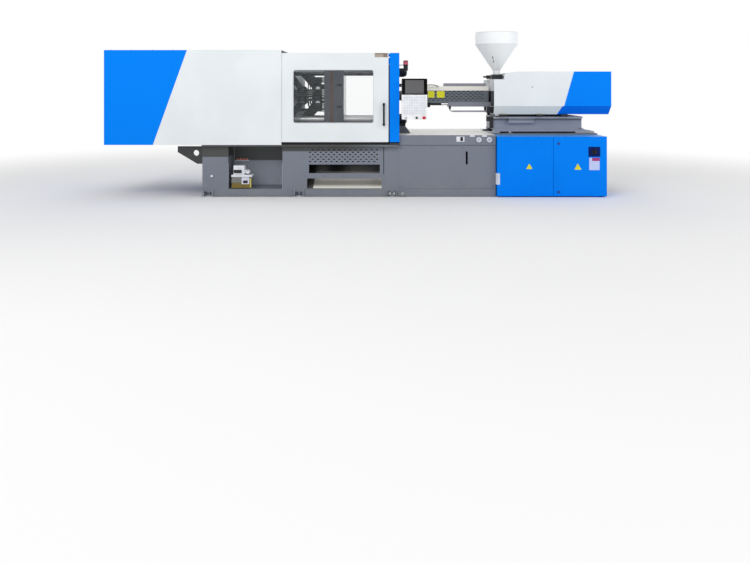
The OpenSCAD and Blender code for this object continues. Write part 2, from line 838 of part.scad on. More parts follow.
module cabinet_shell() {
    t = 4;
    y0 = -half_w + cabinet_door_t + seat_gap;
    placed() color("#0084fa") {
        difference() {
            block([x_cabinet, y0, cabinet_z], [x_cabinet_end, -cabinet_y, cabinet_top]);
            block([x_cabinet + t, y0 - 1, cabinet_z + t], [x_cabinet_end - t, -cabinet_y - t, cabinet_top - t]);
        }
        block([x_cabinet + 60, y0 + 20, 0], [x_cabinet + 160, -cabinet_y - 20, cabinet_z]);
        block([x_cabinet_end - 160, y0 + 20, 0], [x_cabinet_end - 60, -cabinet_y - 20, cabinet_z]);
    }
}

module cabinet_devices() {
    y1 = -cabinet_y - 4;
    x0 = x_cabinet + 60;
    placed() color("#b9bcc0") {
        block([x0, y1 - 3, 60], [x_cabinet_end - 60, y1, cabinet_top - 40]);
        for (row = [0:3])
            block([x0 + 30, y1 - 70, 110 + 150 * row], [x0 + 480, y1 - 3, 190 + 150 * row - 12 * row]);
        block([x0 + 620, y1 - 160, 100], [x0 + 820, y1 - 3, 460]);
        block([x0 + 870, y1 - 160, 100], [x0 + 1070, y1 - 3, 460]);
    }
}

// One folded door of the cabinet, open at the back
module cabinet_door(x0, x1) {
    difference() {
        block([x0, -half_w, cabinet_z + 4], [x1, -half_w + cabinet_door_t, cabinet_top - 2]);
        block([x0 + sheet, -half_w + sheet, cabinet_z + 4 + sheet],
            [x1 - sheet, -half_w + cabinet_door_t + 1, cabinet_top - 2 - sheet]);
    }
}

x_seam = x_cabinet + 676;
x_lock = x_seam + 61;
lock_z = [cabinet_top - 83, 64];
x_isolator = x_cabinet_end - 152;
isolator_z = 547;

module cabinet_door_left() {
    placed() color("#0084fa") cabinet_door(x_cabinet + 1, x_seam - 2);
}

module cabinet_door_right() {
    placed() color("#0084fa") difference() {
        union() {
            cabinet_door(x_seam + 2, x_cabinet_end - 1);
            block([x_isolator - 62, -half_w - 4, 327], [x_isolator + 62, -half_w, 474]);
            block([x_isolator - 72, -half_w - 3, 488], [x_isolator + 70, -half_w, 606]);
        }
        for (z = lock_z) bar_y(-half_w - 5, -half_w + 10, 13 + run_fit, x_lock, z);
        bar_y(-half_w - 6, -half_w + 10, 10 + run_fit, x_isolator, isolator_z);
    }
}

module cabinet_lock(z) {
    placed() color("#3a3d42") difference() {
        union() {
            bar_y(-half_w - 5, -half_w - seat_gap, 17, x_lock, z);
            bar_y(-half_w - 1, -half_w + 16, 13, x_lock, z);
        }
        bar_y(-half_w - 6, -half_w - 2, 6, x_lock, z);
    }
}

module lock_top() { cabinet_lock(lock_z[0]); }
module lock_bottom() { cabinet_lock(lock_z[1]); }

module isolator_handle() {
    placed() color("#17181a") {
        bar_y(-half_w - 14, -half_w - 3 - seat_gap, 30, x_isolator, isolator_z);
        bar_y(-half_w - 4, -half_w + 16, 10, x_isolator, isolator_z);
        block([x_isolator - 8, -half_w - 34, isolator_z - 28], [x_isolator + 8, -half_w - 13, isolator_z + 28]);
    }
}

// Injection carriage

module carriage_base() {
    y = base_w / 2;
    z0 = deck_h + carriage_rail_h + seat_gap;
    x1 = x_base + base_l;
    placed() color("#9c9fa3") {
        block([x_base, -y, base_top - 24], [x1, y, base_top]);
        both_sides() block([x_base, y - 70, z0 + 24], [x1, y - 46, base_top - 24]);
        both_sides() across(210, y) polygon([
            [x_base, z0], [x1 + 144, z0], [x1 + 144, z0 + 5], [x1 + 20, z0 + 28], [x1, z0 + 44],
            [x1 - 20, z0 + 44], [x1 - 20, z0 + 24.5], [x_base, z0 + 24.5]
        ]);
        for (x = [x_base, x1 - 20]) block([x, -y + 60, z0 + 24], [x + 20, y - 60, base_top - 24]);
        both_sides() block([x_base + 184, y - 47, base_top - 82], [x_base + 511, y, base_top - 24]);
        for (x = [x_base + 60, x_base + 520, x1 - 290])
            both_sides() block([x, y - 40, base_top], [x + 80, housing_y - 20, housing_z - seat_gap]);
        both_sides() block([x_base - 87, y - 60, base_top - 60], [x_base, y - 20, base_top]);
        both_sides() block([x_base - 48, y - 60, deck_h + 61], [x_base, y - 20, base_top - 59]);
    }
}

module feed_housing() {
    y = 110;
    placed() color("#55595e") difference() {
        union() {
            block([x_feed, -y, axis_h - 130], [x_feed_end, y, feed_top]);
            block([x_feed + 30, -y - 50, base_top], [x_feed_end, y + 50, axis_h - 130]);
            block([x_feed_end - 1, -300, axis_h - 120], [x_feed_end + 40, 300, axis_h + 120]);
            both_sides() block([x_feed_end - 1, 240, base_top], [x_feed_end + 40, 300, axis_h - 119]);
            for (i = [0:4]) bar_x(x_flange + i * 8, x_flange + 4 + i * 8, barrel_r + 30, 0, axis_h);
            bar_x(x_flange, x_feed + 1, barrel_r + 22, 0, axis_h);
        }
        bar_x(x_feed - 40, x_feed_end + 41, barrel_r + run_fit, 0, axis_h);
        bar_z(axis_h, feed_top + 1, 28, x_hopper);
        both_sides() bar_x(x_feed_end - 20, x_feed_end + 41, drive_rod_r + run_fit, drive_rod_y, axis_h);
    }
}

module barrel() {
    placed() color("#6b6e72") difference() {
        union() {
            bar_x(x_barrel, x_feed_end + 40, barrel_r, 0, axis_h);
            bar_x(x_barrel - 55, x_barrel + 1, 34, 0, axis_h);
            translate([x_nozzle, 0, axis_h]) rotate([0, 90, 0])
                cylinder(h = x_barrel - 55 - x_nozzle, r1 = 12, r2 = 30);
        }
        bar_x(x_barrel + 20, x_feed_end + 41, screw_d / 2, 0, axis_h);
        bar_x(x_nozzle - 1, x_barrel + 21, 4, 0, axis_h);
        bar_z(axis_h, axis_h + barrel_r + 5, 24, x_hopper);
    }
}

module heater_bands() {
    band_l = 130;
    count = floor((x_feed - 60 - x_barrel - 40) / (band_l + 30));
    placed() color("#a9a49a") for (i = [0:count - 1]) {
        x = x_barrel + 40 + i * (band_l + 30);
        difference() {
            union() {
                bar_x(x, x + band_l, barrel_r + 8, 0, axis_h);
                block([x + 45, -14, axis_h + barrel_r], [x + 85, 14, axis_h + barrel_r + 34]);
            }
            bar_x(x - 1, x + band_l + 1, barrel_r + run_fit, 0, axis_h);
        }
    }
}

// Folded guard over the barrel, perforated on its two sides, with a cable duct above and below
module barrel_guard() {
    y = 150;
    z = 66;
    low = 98;
    flat = 96;
    h = 122;
    t = sheet;
    outline = [[-y, -low], [-y, z], [-flat, h], [flat, h], [y, z], [y, -low]];
    inner = [
        [-y + t, -low - 1], [-y + t, z - 1], [-flat + 1, h - t],
        [flat - 1, h - t], [y - t, z - 1], [y - t, -low - 1]
    ];
    pitch = 60;
    columns = floor((x_guard_end - x_guard - 60) / pitch);
    placed() color("#3b3e42") difference() {
        union() {
            translate([0, 0, axis_h]) along(x_guard, x_guard_end) difference() {
                polygon(outline);
                polygon(inner);
            }
            block([x_guard_end - 562, -58, axis_h + h], [x_guard_end - 21, 58, axis_h + h + 38]);
            across(-y - 20, -y + 1) polygon([
                [x_guard_end - 510, axis_h - 80], [x_guard_end + 20, axis_h - 80],
                [x_guard_end + 20, axis_h - 139], [x_guard_end - 536, axis_h - 139]
            ]);
            for (x = [x_guard, x_guard_end - 8]) translate([0, 0, axis_h]) along(x, x + 8) difference() {
                polygon(outline);
                circle(r = barrel_r + 12);
                field([-barrel_r - 12, -low - 1], [barrel_r + 12, 0]);
            }
        }
        both_sides() across(-y - 1, -y + t + 1)
            for (row = [0:5], column = [0:columns - 1])
                translate([x_guard + 42 + (column + (row % 2) / 2) * pitch, axis_h - 55 + row * 22]) oblong(17, 5);
    }
}

module cooling_pipe() {
    r = 7;
    bend = 30;
    y = -160;
    x0 = x_guard_end - 497;
    x1 = x_housing - 52;
    z = axis_h - 198;
    placed() color("#8b9095") {
        bar_z(z + bend, axis_h - 139, r, x0, y);
        translate([x0 + bend, y, z + bend]) rotate([90, 180, 0]) rotate_extrude(angle = 90)
            translate([bend, 0]) circle(r = r);
        bar_x(x0 + bend, x1, r, y, z);
        block([x1, y - 30, z - 22], [x_feed + 30, y + 30, z + 54]);
    }
}

// Injection housing: side sheets with a bevelled foot, top sheets and end sheet
module housing_side() {
    y = housing_y;
    foot = 103;
    module face() {
        polygon([
            [x_housing, housing_z], [x_right - 24, housing_z], [x_right, housing_z + foot], [x_right, housing_top],
            [x_housing + 290, housing_top], [x_housing + 130, housing_top - 28], [x_housing + 122, feed_top - 5],
            [x_housing, feed_top - 5]
        ]);
    }
    intersection() {
        across(-y, -y + 60) face();
        along(x_housing, x_right) polygon([
            [-y, housing_top], [-y, housing_z + foot], [-y + 40, housing_z], [-y + 58, housing_z],
            [-y + 58, housing_z + sheet], [-y + 40 + sheet, housing_z + sheet], [-y + sheet, housing_z + foot],
            [-y + sheet, housing_top - sheet], [-y + 22, housing_top - sheet], [-y + 22, housing_top]
        ]);
    }
}

module injection_housing() {
    y = housing_y - 22 - seat_gap;
    placed() color("#e8edf0") {
        both_sides() housing_side();
        across(-y, y) polygon([
            [x_housing + 290, housing_top], [x_right, housing_top], [x_right, housing_z + 130],
            [x_right - sheet, housing_z + 130], [x_right - sheet, housing_top - sheet],
            [x_housing + 290, housing_top - sheet], [x_feed_end + 6, housing_top - 20], [x_feed_end + 6, housing_top - 17]
        ]);
    }
}

module injection_cylinders() {
    placed() color("#3f464d") both_sides() difference() {
        bar_x(x_feed_end + 40, x_drive - 50, 58, drive_rod_y, axis_h);
        bar_x(x_feed_end + 39, x_drive - 49, drive_rod_r + run_fit, drive_rod_y, axis_h);
    }
}

module drive_plate() {
    placed() color("#5f666e") difference() {
        union() {
            block([x_drive, -300, axis_h - 110], [x_drive + drive_t, 300, axis_h + 110]);
            bar_x(x_drive + drive_t - 1, x_drive + 400, 130, 0, axis_h);
            both_sides() bar_x(x_feed_end - 15, x_drive + 1, drive_rod_r, drive_rod_y, axis_h);
        }
        bar_x(x_drive - 1, x_drive + 160, screw_d / 2, 0, axis_h);
    }
}

module injection_screw() {
    turns = 18;
    lead = screw_d;
    x0 = x_barrel + 60;
    placed() color("#aeb2b6") {
        bar_x(x0, x_drive + 150, screw_r - 8, 0, axis_h);
        translate([x0 - 34, 0, axis_h]) rotate([0, 90, 0]) cylinder(h = 35, r1 = 3, r2 = screw_r - 8);
        bar_x(x_feed_end - 60, x_drive + 150, screw_r, 0, axis_h);
        translate([x0, 0, axis_h]) rotate([0, 90, 0])
            linear_extrude(height = turns * lead, twist = -360 * turns, slices = turns * 8, $fn = 8)
                translate([screw_r - 13, -3]) square([12.5, 6]);
    }
}

// Hopper

module hopper() {
    w = 3;
    neck_r = 46;
    placed() color("#eef1f4") {
        translate([x_hopper, 0, 0]) rotate_extrude() polygon([
            [neck_r, hopper_z], [neck_r, cone_z], [hopper_r, ring_z], [hopper_r, hopper_top],
            [hopper_r - w, hopper_top], [hopper_r - w, ring_z], [neck_r - w, cone_z], [neck_r - w, hopper_z]
        ]);
        bar_x(x_hopper + 65, x_hopper + 108, 10, 0, feed_top + 49);
        difference() {
            block([x_hopper - 66, -80, feed_top], [x_hopper + 66, 80, hopper_z]);
            bar_z(feed_top - 1, hopper_z + 1, 28, x_hopper);
            block([x_hopper - 67, -45 - seat_gap, feed_top + 24 - seat_gap],
                [x_hopper + 67, 45 + seat_gap, feed_top + 34 + seat_gap]);
        }
    }
}

module hopper_lid() {
    placed() color("#eef1f4") {
        translate([x_hopper, 0, hopper_top + seat_gap]) rotate_extrude() polygon([
            [0, 8], [120, 6], [hopper_r - 20, 0], [hopper_r, 0], [hopper_r, 3], [hopper_r - 20, 3], [120, 9], [0, 11]
        ]);
        bar_x(x_hopper - 45, x_hopper + 45, 7, hopper_r + 10, hopper_top + 8);
        block([x_hopper - 40, hopper_r - 24, hopper_top + 2], [x_hopper + 40, hopper_r + 10, hopper_top + 5]);
    }
}

module hopper_gate() {
    z = feed_top + 24;
    placed() color("#26282b") difference() {
        union() {
            block([x_hopper - 78, -45, z], [x_hopper + 122, 45, z + 10]);
            block([x_hopper - 130, -22, z - 18], [x_hopper - 78, 22, z + 28]);
            block([x_hopper - 170, -12, z - 4], [x_hopper - 130, 12, z + 18]);
        }
        bar_z(z - 1, z + 11, 26, x_hopper);
    }
}

clamp_bed();
injection_bed();
slide_rails();
levelling_feet();
vent_panel();
side_panels();
discharge_chute();
hydraulic_unit();
tie_bars();
tie_bar_nuts();
fixed_platen();
clamp_cover();
guard_frame();
beacon_base();
beacon_lens();
panel_arm();
lubrication_pump();
oil_reservoir();
cabinet_shell();
cabinet_devices();
rear_platen();
adjusting_nuts();
clamp_cylinder();
rear_pins();
moving_platen();
front_pins();
ejector();
rear_link_upper();
rear_link_lower();
front_link_upper();
front_link_lower();
crosshead();
crosshead_link_upper();
crosshead_link_lower();
carriage_base();
barrel();
heater_bands();
barrel_guard();
cooling_pipe();
feed_housing();
injection_housing();
injection_cylinders();
drive_plate();
injection_screw();
hopper();
hopper_lid();
hopper_gate();
front_door();
front_window();
rear_door();
rear_window();
control_panel();
e_stop();
selector_knob();
grey_button();
cabinet_door_left();
cabinet_door_right();
isolator_handle();
lock_top();
lock_bottom();
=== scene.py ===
import math

import bmesh
import bpy
from mathutils import Matrix, Vector


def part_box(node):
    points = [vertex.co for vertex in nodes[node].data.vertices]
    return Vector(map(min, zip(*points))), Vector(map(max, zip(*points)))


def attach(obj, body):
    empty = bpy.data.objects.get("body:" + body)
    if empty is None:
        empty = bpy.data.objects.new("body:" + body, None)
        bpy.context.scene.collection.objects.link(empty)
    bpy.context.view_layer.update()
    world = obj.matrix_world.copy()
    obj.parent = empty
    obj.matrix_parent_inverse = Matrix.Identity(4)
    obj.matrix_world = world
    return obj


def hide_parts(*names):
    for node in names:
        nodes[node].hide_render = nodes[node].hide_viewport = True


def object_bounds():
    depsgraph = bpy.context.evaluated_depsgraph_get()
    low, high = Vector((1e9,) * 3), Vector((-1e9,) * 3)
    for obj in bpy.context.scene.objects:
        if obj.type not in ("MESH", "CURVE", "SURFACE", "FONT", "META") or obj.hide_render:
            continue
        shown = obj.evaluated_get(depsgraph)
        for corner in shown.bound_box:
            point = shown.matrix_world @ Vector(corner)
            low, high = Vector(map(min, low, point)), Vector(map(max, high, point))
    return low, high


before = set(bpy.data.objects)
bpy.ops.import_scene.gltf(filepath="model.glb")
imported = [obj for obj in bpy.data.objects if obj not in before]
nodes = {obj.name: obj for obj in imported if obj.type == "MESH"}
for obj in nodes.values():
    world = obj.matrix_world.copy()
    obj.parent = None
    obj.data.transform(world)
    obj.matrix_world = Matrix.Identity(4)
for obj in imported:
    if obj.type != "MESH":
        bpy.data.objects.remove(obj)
cad_low, cad_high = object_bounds()
axis_y = sum(corner.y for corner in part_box("fixed_platen")) / 2
axis_z = sum(corner.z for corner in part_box("tie_bars")) / 2

# The two beds are welded from plate and sprayed grey in one coat with their side panels.
# The coat is a little uneven, and shop dust has settled on its lowest edges.


def srgb(red, green, blue):
    """A colour given as 0 to 255 sRGB values, as the linear colour that a shader takes."""
    def linear(value):
        value /= 255
        return value / 12.92 if value <= 0.04045 else ((value + 0.055) / 1.055) ** 2.4
    return (linear(red), linear(green), linear(blue), 1)


def shade(colour, factor):
    return tuple(c * factor for c in colour[:3]) + (1,)


def empty_tree(owner):
    """The node tree of a new material or world, with nothing in it."""
    owner.use_nodes = True
    owner.node_tree.nodes.clear()
    return owner.node_tree


def set_inputs(node, values):
    """Sets inputs by name or number: an output socket is linked, anything else is the value."""
    for socket, value in values.items():
        if isinstance(value, bpy.types.NodeSocket):
            node.id_data.links.new(value, node.inputs[socket])
        else:
            node.inputs[socket].default_value = value


def add_node(tree, kind, values=None, **settings):
    """A new node with its settings and inputs."""
    node = tree.nodes.new(kind)
    for setting, value in settings.items():
        setattr(node, setting, value)
    set_inputs(node, values or {})
    return node


def new_material(name):
    """A material with only a Principled shader in its tree; returns all three."""
    material = bpy.data.materials.new(name)
    tree = empty_tree(material)
    shader = add_node(tree, "ShaderNodeBsdfPrincipled")
    add_node(tree, "ShaderNodeOutputMaterial", {"Surface": shader.outputs["BSDF"]})
    return material, tree, shader


def coordinate(tree, axis):
    """One coordinate of the object space, in metres."""
    place = add_node(tree, "ShaderNodeTexCoord").outputs["Object"]
    return add_node(tree, "ShaderNodeSeparateXYZ", {"Vector": place}).outputs[axis]


def grain(tree, scale, detail=3.0, stretch=(1, 1, 1)):
    """Noise from 0 to 1 in object space, squeezed along the axes by stretch."""
    place = add_node(tree, "ShaderNodeTexCoord").outputs["Object"]
    place = add_node(tree, "ShaderNodeMapping", {"Vector": place, "Scale": stretch}).outputs["Vector"]
    return add_node(tree, "ShaderNodeTexNoise", {"Vector": place, "Scale": scale, "Detail": detail}).outputs["Fac"]


def calculate(tree, operation, first, second=0):
    """One Math node; each value is a number or a socket."""
    return add_node(tree, "ShaderNodeMath", {0: first, 1: second}, operation=operation).outputs["Value"]


def spread(tree, value, low, high, bottom=0.0, top=1.0):
    """Maps value from low..high onto bottom..top, and holds it there outside."""
    limits = {"Value": value, "From Min": low, "From Max": high, "To Min": bottom, "To Max": top}
    return add_node(tree, "ShaderNodeMapRange", limits, interpolation_type="SMOOTHSTEP").outputs["Result"]


def blend_colours(tree, factor, first, second):
    """Two colours, each a tuple or a socket, mixed by a factor socket."""
    node = add_node(tree, "ShaderNodeMix", {"Factor": factor}, data_type="RGBA")
    colours = [i for i, socket in enumerate(node.inputs) if socket.type == "RGBA"]
    set_inputs(node, dict(zip(colours, (first, second))))
    return next(socket for socket in node.outputs if socket.type == "RGBA")


def add_zones(tree, tone, zones):
    """Lays each zone's colour over a tone. A zone is (test, colour), and test(tree) is 1 inside it."""
    for test, colour in zones:
        tone = blend_colours(tree, test(tree), tone, colour)
    return tone


def add_bump(tree, shader, height, distance):
    bump = add_node(tree, "ShaderNodeBump", {"Height": height, "Distance": distance})
    set_inputs(shader, {"Normal": bump.outputs["Normal"]})


def sprayed(name, colour, roughness=0.4, dust=0.0, peel=0.00006, zones=(), gloss=0.4):
    """Sprayed paint with orange peel, other colours in its zones, and dust near the floor."""
    material, tree, shader = new_material(name)
    tone = blend_colours(tree, spread(tree, grain(tree, 1.6), 0.35, 0.65), shade(colour, 0.95), colour)
    tone = add_zones(tree, tone, zones)
    if dust:
        low = spread(tree, coordinate(tree, "Z"), 0.0, 0.4, dust, 0.0)
        speck = spread(tree, grain(tree, 8.0, 6.0), 0.4, 0.65)
        tone = blend_colours(tree, calculate(tree, "MULTIPLY", low, speck), tone, srgb(134, 134, 134))
    set_inputs(shader, {"Base Color": tone, "Roughness": roughness, "Specular IOR Level": gloss})
    add_bump(tree, shader, grain(tree, 380.0, 2.0), peel)
    return material


def coat(material, *names):
    """Gives CAD nodes one material."""
    for name in names:
        nodes[name].data.materials.clear()
        nodes[name].data.materials.append(material)


def beyond(axis, limit, sign=1):
    """A test that is 1 where a coordinate is past a limit, or below it with sign -1."""
    def test(tree):
        return calculate(tree, "GREATER_THAN" if sign > 0 else "LESS_THAN", coordinate(tree, axis), limit)
    return test


def fading(axis, low, high, bottom=0.0, top=1.0):
    """A test that goes smoothly from bottom to top between two coordinates."""
    return lambda tree: spread(tree, coordinate(tree, axis), low, high, bottom, top)


def all_of(*tests):
    """A test that is the product of others."""
    def test(tree):
        product = tests[0](tree)
        for other in tests[1:]:
            product = calculate(tree, "MULTIPLY", product, other(tree))
        return product
    return test


def within(axis, low, high):
    return all_of(beyond(axis, low), beyond(axis, high, -1))


bed_low, bed_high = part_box("clamp_bed")
deck_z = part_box("injection_bed")[1].z
bed_grey = srgb(120, 126, 138)
pale_deck = all_of(beyond("Z", deck_z - 0.0006), beyond("X", 1.615, -1))
coat(sprayed("bed_paint", bed_grey, 0.45, dust=0.35, zones=[(pale_deck, srgb(224, 223, 217))]),
     "injection_bed", "side_panels")
# The bay's inside is painted lighter than the bed, as painted light, and its roof darker, as painted shade.
in_bay = all_of(beyond("Y", bed_low.y + 0.012), beyond("Z", 0.0945), within("X", -1.612, -0.954))
painted_bay_roof_shade = all_of(in_bay, fading("Z", 0.396, 0.408))
# Inside the bed over the chute the coat is painted nearly black, as painted shade.
painted_chute_shade = all_of(within("Y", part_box("vent_panel")[0].y + 0.001, bed_high.y - 0.09),
                    within("X", -0.70, 0.272), fading("Z", 0.25, 0.29))
# Painted shadow of the cover's overhang: a dark band along the top rail, stronger towards its left end, and along
# the end panel's top.
painted_cover_shadow = all_of(fading("Z", 0.543, 0.553), fading("X", -0.3, 0.4, 1.0, 0.2))
painted_end_panel_shadow = all_of(fading("Z", 0.476, 0.484), beyond("X", -1.6095, -1))
lifting_brackets = beyond("X", -1.9215, -1)
shaded = srgb(70, 71, 71)
clamp_paint = sprayed("clamp_paint", bed_grey, 0.45, dust=0.35, zones=[
    (painted_cover_shadow, shaded), (painted_end_panel_shadow, shaded), (lifting_brackets, srgb(52, 54, 54)),
    (painted_chute_shade, srgb(26, 30, 33)), (in_bay, srgb(168, 176, 190)), (painted_bay_roof_shade, srgb(84, 88, 88))])
coat(clamp_paint, "clamp_bed")

# The bed's small fittings: a press-in plug in the end panel, two round hose sockets with their
# clips on the top rail, and a bare plate with a switch beside them. They are plastic and sheet.
to_front, upwards = (0, -1, 0), (0, 0, 1)


def polished(name, colour, roughness=0.25, direction=(1, 1, 60), scale=18.0, metallic=1.0, scratch=0.00002):
    """Worked metal: fine lines across one axis vary its gloss."""
    material, tree, shader = new_material(name)
    lines = grain(tree, scale, 4.0, direction)
    tone = blend_colours(tree, spread(tree, lines, 0.3, 0.7), shade(colour, 0.9), colour)
    gloss = spread(tree, lines, 0.3, 0.7, roughness * 0.8, roughness * 1.3)
    set_inputs(shader, {"Base Color": tone, "Roughness": gloss, "Metallic": metallic})
    add_bump(tree, shader, lines, scratch)
    return material


def moulded(name, colour, roughness=0.45, texture=900.0, depth=0.00004, gloss=0.25):
    """Moulded plastic or rubber with a fine texture, and a little dust in its tone."""
    material, tree, shader = new_material(name)
    tone = blend_colours(tree, spread(tree, grain(tree, 14.0, 5.0), 0.35, 0.7), colour, shade(colour, 1.12))
    set_inputs(shader, {"Base Color": tone, "Roughness": roughness, "Specular IOR Level": gloss})
    add_bump(tree, shader, grain(tree, texture, 2.0), depth)
    return material


def in_scene(name, data):
    """An object of a mesh, lamp or camera, put in the scene."""
    thing = bpy.data.objects.new(name, data)
    bpy.context.scene.collection.objects.link(thing)
    return thing


def mesh_of(name, bm):
    mesh = bpy.data.meshes.new(name)
    bm.to_mesh(mesh)
    bm.free()
    return mesh


def finish_piece(name, bm, material, body, smooth_angle=35):
    """Turns a bmesh, built in place in metres, into a piece that rides on a body."""
    bmesh.ops.remove_doubles(bm, verts=bm.verts, dist=1e-6)
    bmesh.ops.recalc_face_normals(bm, faces=bm.faces)
    mesh = mesh_of(name, bm)
    mesh.materials.append(material)
    mesh.shade_smooth()
    mesh.set_sharp_from_angle(angle=math.radians(smooth_angle))
    piece = in_scene(name, mesh)
    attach(piece, body)


def add_block(bm, first, second, bevel=0.001):
    """A block between two opposite corners, with its edges broken."""
    low, high = (Vector(corner) for corner in zip(*(sorted(pair) for pair in zip(first, second))))
    size = high - low
    place = Matrix.Translation((low + high) / 2) @ Matrix.Diagonal((*size, 1))
    made = bmesh.ops.create_cube(bm, size=1, matrix=place)
    edges = list({e for v in made["verts"] for e in v.link_edges})
    bmesh.ops.bevel(bm, geom=edges, offset=min(bevel, min(size) * 0.3), segments=2, affect="EDGES")


def block_piece(name, blocks, bevel, material, body):
    """A piece of plain blocks, each given by two opposite corners."""
    bm = bmesh.new()
    for first, second in blocks:
        add_block(bm, first, second, bevel)
    finish_piece(name, bm, material, body)


def facing(point, direction):
    """The matrix that stands a shape drawn along +Z on a point, along a direction."""
    return Matrix.Translation(point) @ Vector(direction).to_track_quat("Z", "Y").to_matrix().to_4x4()


def arc(radius, angles, middle=(0, 0)):
    """The points of a circle at the given angles in degrees."""
    turns = [math.radians(angle) for angle in angles]
    return [(middle[0] + radius * math.cos(turn), middle[1] + radius * math.sin(turn)) for turn in turns]


def whole_turn(steps):
    return [360 * i / steps for i in range(steps)]


def add_skin(bm, rings, ends=False):
    """Faces from each ring of vertices to the next, and over the two ends where asked."""
    steps = max(len(ring) for ring in rings)
    for lower, upper in zip(rings, rings[1:]):
        for i in range(steps):
            corners = [lower[i % len(lower)], lower[(i + 1) % len(lower)],
                       upper[(i + 1) % len(upper)], upper[i % len(upper)]]
            bm.faces.new(list(dict.fromkeys(corners)))
    if ends:
        bm.faces.new(rings[0])
        bm.faces.new(rings[-1])


def add_turned(bm, profile, point, direction, steps=32):
    """A turned shape from (radius, height) points, standing on point along direction."""
    place = facing(point, direction)
    rings = []
    for radius, height in profile:
        turn = arc(radius, whole_turn(steps)) if radius else [(0, 0)]
        rings.append([bm.verts.new(place @ Vector((x, y, height))) for x, y in turn])
    add_skin(bm, rings)


rail_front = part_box("injection_bed")[0].y
socket_profile = [(0, -0.002), (0.034, -0.002), (0.034, 0.006), (0.030, 0.012),
                  (0.028, 0.026), (0.019, 0.028), (0.017, 0.010), (0, 0.009)]
bm = bmesh.new()
for x in (1.415, 1.541):
    add_turned(bm, socket_profile, (x, rail_front, 0.687), to_front)
finish_piece("hose_sockets", bm, moulded("socket_plastic", srgb(205, 210, 220), 0.3), "machine")

bm = bmesh.new()
for x in (1.337, 1.482):
    add_block(bm, (x - 0.029, rail_front - 0.005, 0.723), (x + 0.029, rail_front + 0.001, 0.742))
add_block(bm, (1.144, rail_front - 0.0015, 0.664), (1.241, rail_front + 0.001, 0.726), 0.0004)
plug_profile = [(0, -0.001), (0.014, -0.001), (0.014, 0.002), (0.010, 0.005), (0, 0.006)]
add_turned(bm, plug_profile, (-1.80, bed_low.y, 0.255), to_front)
finish_piece("bed_plates", bm, moulded("plate_white", srgb(222, 224, 232), 0.4), "machine")

bm = bmesh.new()
add_block(bm, (1.192, rail_front - 0.005, 0.672), (1.222, rail_front + 0.001, 0.720), 0.002)
add_turned(bm, [(0, 0), (0.012, 0), (0.012, 0.010), (0.009, 0.012), (0, 0.012)],
           (1.207, rail_front - 0.004, 0.696), to_front, 24)
finish_piece("rail_switch", bm, moulded("switch_black", srgb(32, 33, 38), 0.4), "machine")

# The machine stands on levelling feet: turned steel pads with threaded studs and lock nuts,
# greyed by handling.
coat(polished("foot_steel", srgb(176, 180, 190), 0.42, (1, 1, 30), 30.0, 0.25), "levelling_feet")

# Each foot of the clamp bed stands in a small box pressed from sheet: a back and two cheeks, welded into the
# rail's cut-out and sprayed with it. Their grey is painted lighter than the bed's, as painted light, so that the
# cheeks show as light lines at the pocket's sides.
bm = bmesh.new()
for x in (-1.850, -0.756, 0.368):
    for side, front in ((-1, bed_low.y), (1, bed_high.y)):
        back = front - side * 0.115
        add_block(bm, (x - 0.055, back, 0.004), (x + 0.055, back - side * 0.006, 0.092))
        for cheek in (x - 0.0535, x + 0.0535):
            add_block(bm, (cheek - 0.002, front - side * 0.001, 0.004), (cheek + 0.002, back, 0.092), 0.0008)
finish_piece("foot_boxes", bm, sprayed("foot_box_paint", srgb(176, 181, 194), 0.45), "machine")

# Hex head screws hold the panels, covers and flanges. Each is a steel head on its washer;
# a row of them is made by one geometry tree from a mesh that has a vertex at each place.


def new_tree(name, start, sizes, result):
    """A geometry tree that takes a mesh, named sizes and a finish; returns it and its input node."""
    tree = bpy.data.node_groups.new(name, "GeometryNodeTree")
    for label, kind in ((start, "Geometry"), *sizes, ("Finish", "Material")):
        tree.interface.new_socket(name=label, in_out="INPUT", socket_type="NodeSocket" + kind)
    tree.interface.new_socket(name=result, in_out="OUTPUT", socket_type="NodeSocketGeometry")
    return tree, tree.nodes.new("NodeGroupInput")


def copies(tree, points, shape, turn=(0, 0, 0)):
    """Copies of a shape on points."""
    values = {"Points": points, "Instance": shape, "Rotation": turn}
    return add_node(tree, "GeometryNodeInstanceOnPoints", values).outputs["Instances"]


def end_tree(tree, inside, instances):
    """Makes the instances real and gives them the finish."""
    real = add_node(tree, "GeometryNodeRealizeInstances", {"Geometry": instances}).outputs["Geometry"]
    values = {"Geometry": real, "Material": inside.outputs["Finish"]}
    add_node(tree, "NodeGroupOutput", {0: add_node(tree, "GeometryNodeSetMaterial", values).outputs["Geometry"]})
    return tree


def screw_tree():
    """Nodes that stand a washer and a hexagon head on each vertex of the mesh."""
    sizes = (("Head Radius", "Float"), ("Head Height", "Float"), ("Turn", "Vector"))
    tree, inside = new_tree("hex_screws", "Places", sizes, "Screws")
    radius, height = inside.outputs["Head Radius"], inside.outputs["Head Height"]
    join = add_node(tree, "GeometryNodeJoinGeometry")
    washer, head = (20, 1.25, 0.2, 0.1), (6, 1.0, 0.8, 0.6)
    for sides, wide, tall, lift in (washer, head):
        body = add_node(tree, "GeometryNodeMeshCylinder", {
            "Vertices": sides, "Radius": calculate(tree, "MULTIPLY", radius, wide),
            "Depth": calculate(tree, "MULTIPLY", height, tall)})
        move = add_node(tree, "ShaderNodeCombineXYZ", {"Z": calculate(tree, "MULTIPLY", height, lift)})
        moved = {"Geometry": body.outputs["Mesh"], "Translation": move.outputs[0]}
        set_inputs(join, {"Geometry": add_node(tree, "GeometryNodeTransform", moved).outputs["Geometry"]})
    stood = copies(tree, inside.outputs["Places"], join.outputs["Geometry"], inside.outputs["Turn"])
    return end_tree(tree, inside, stood)


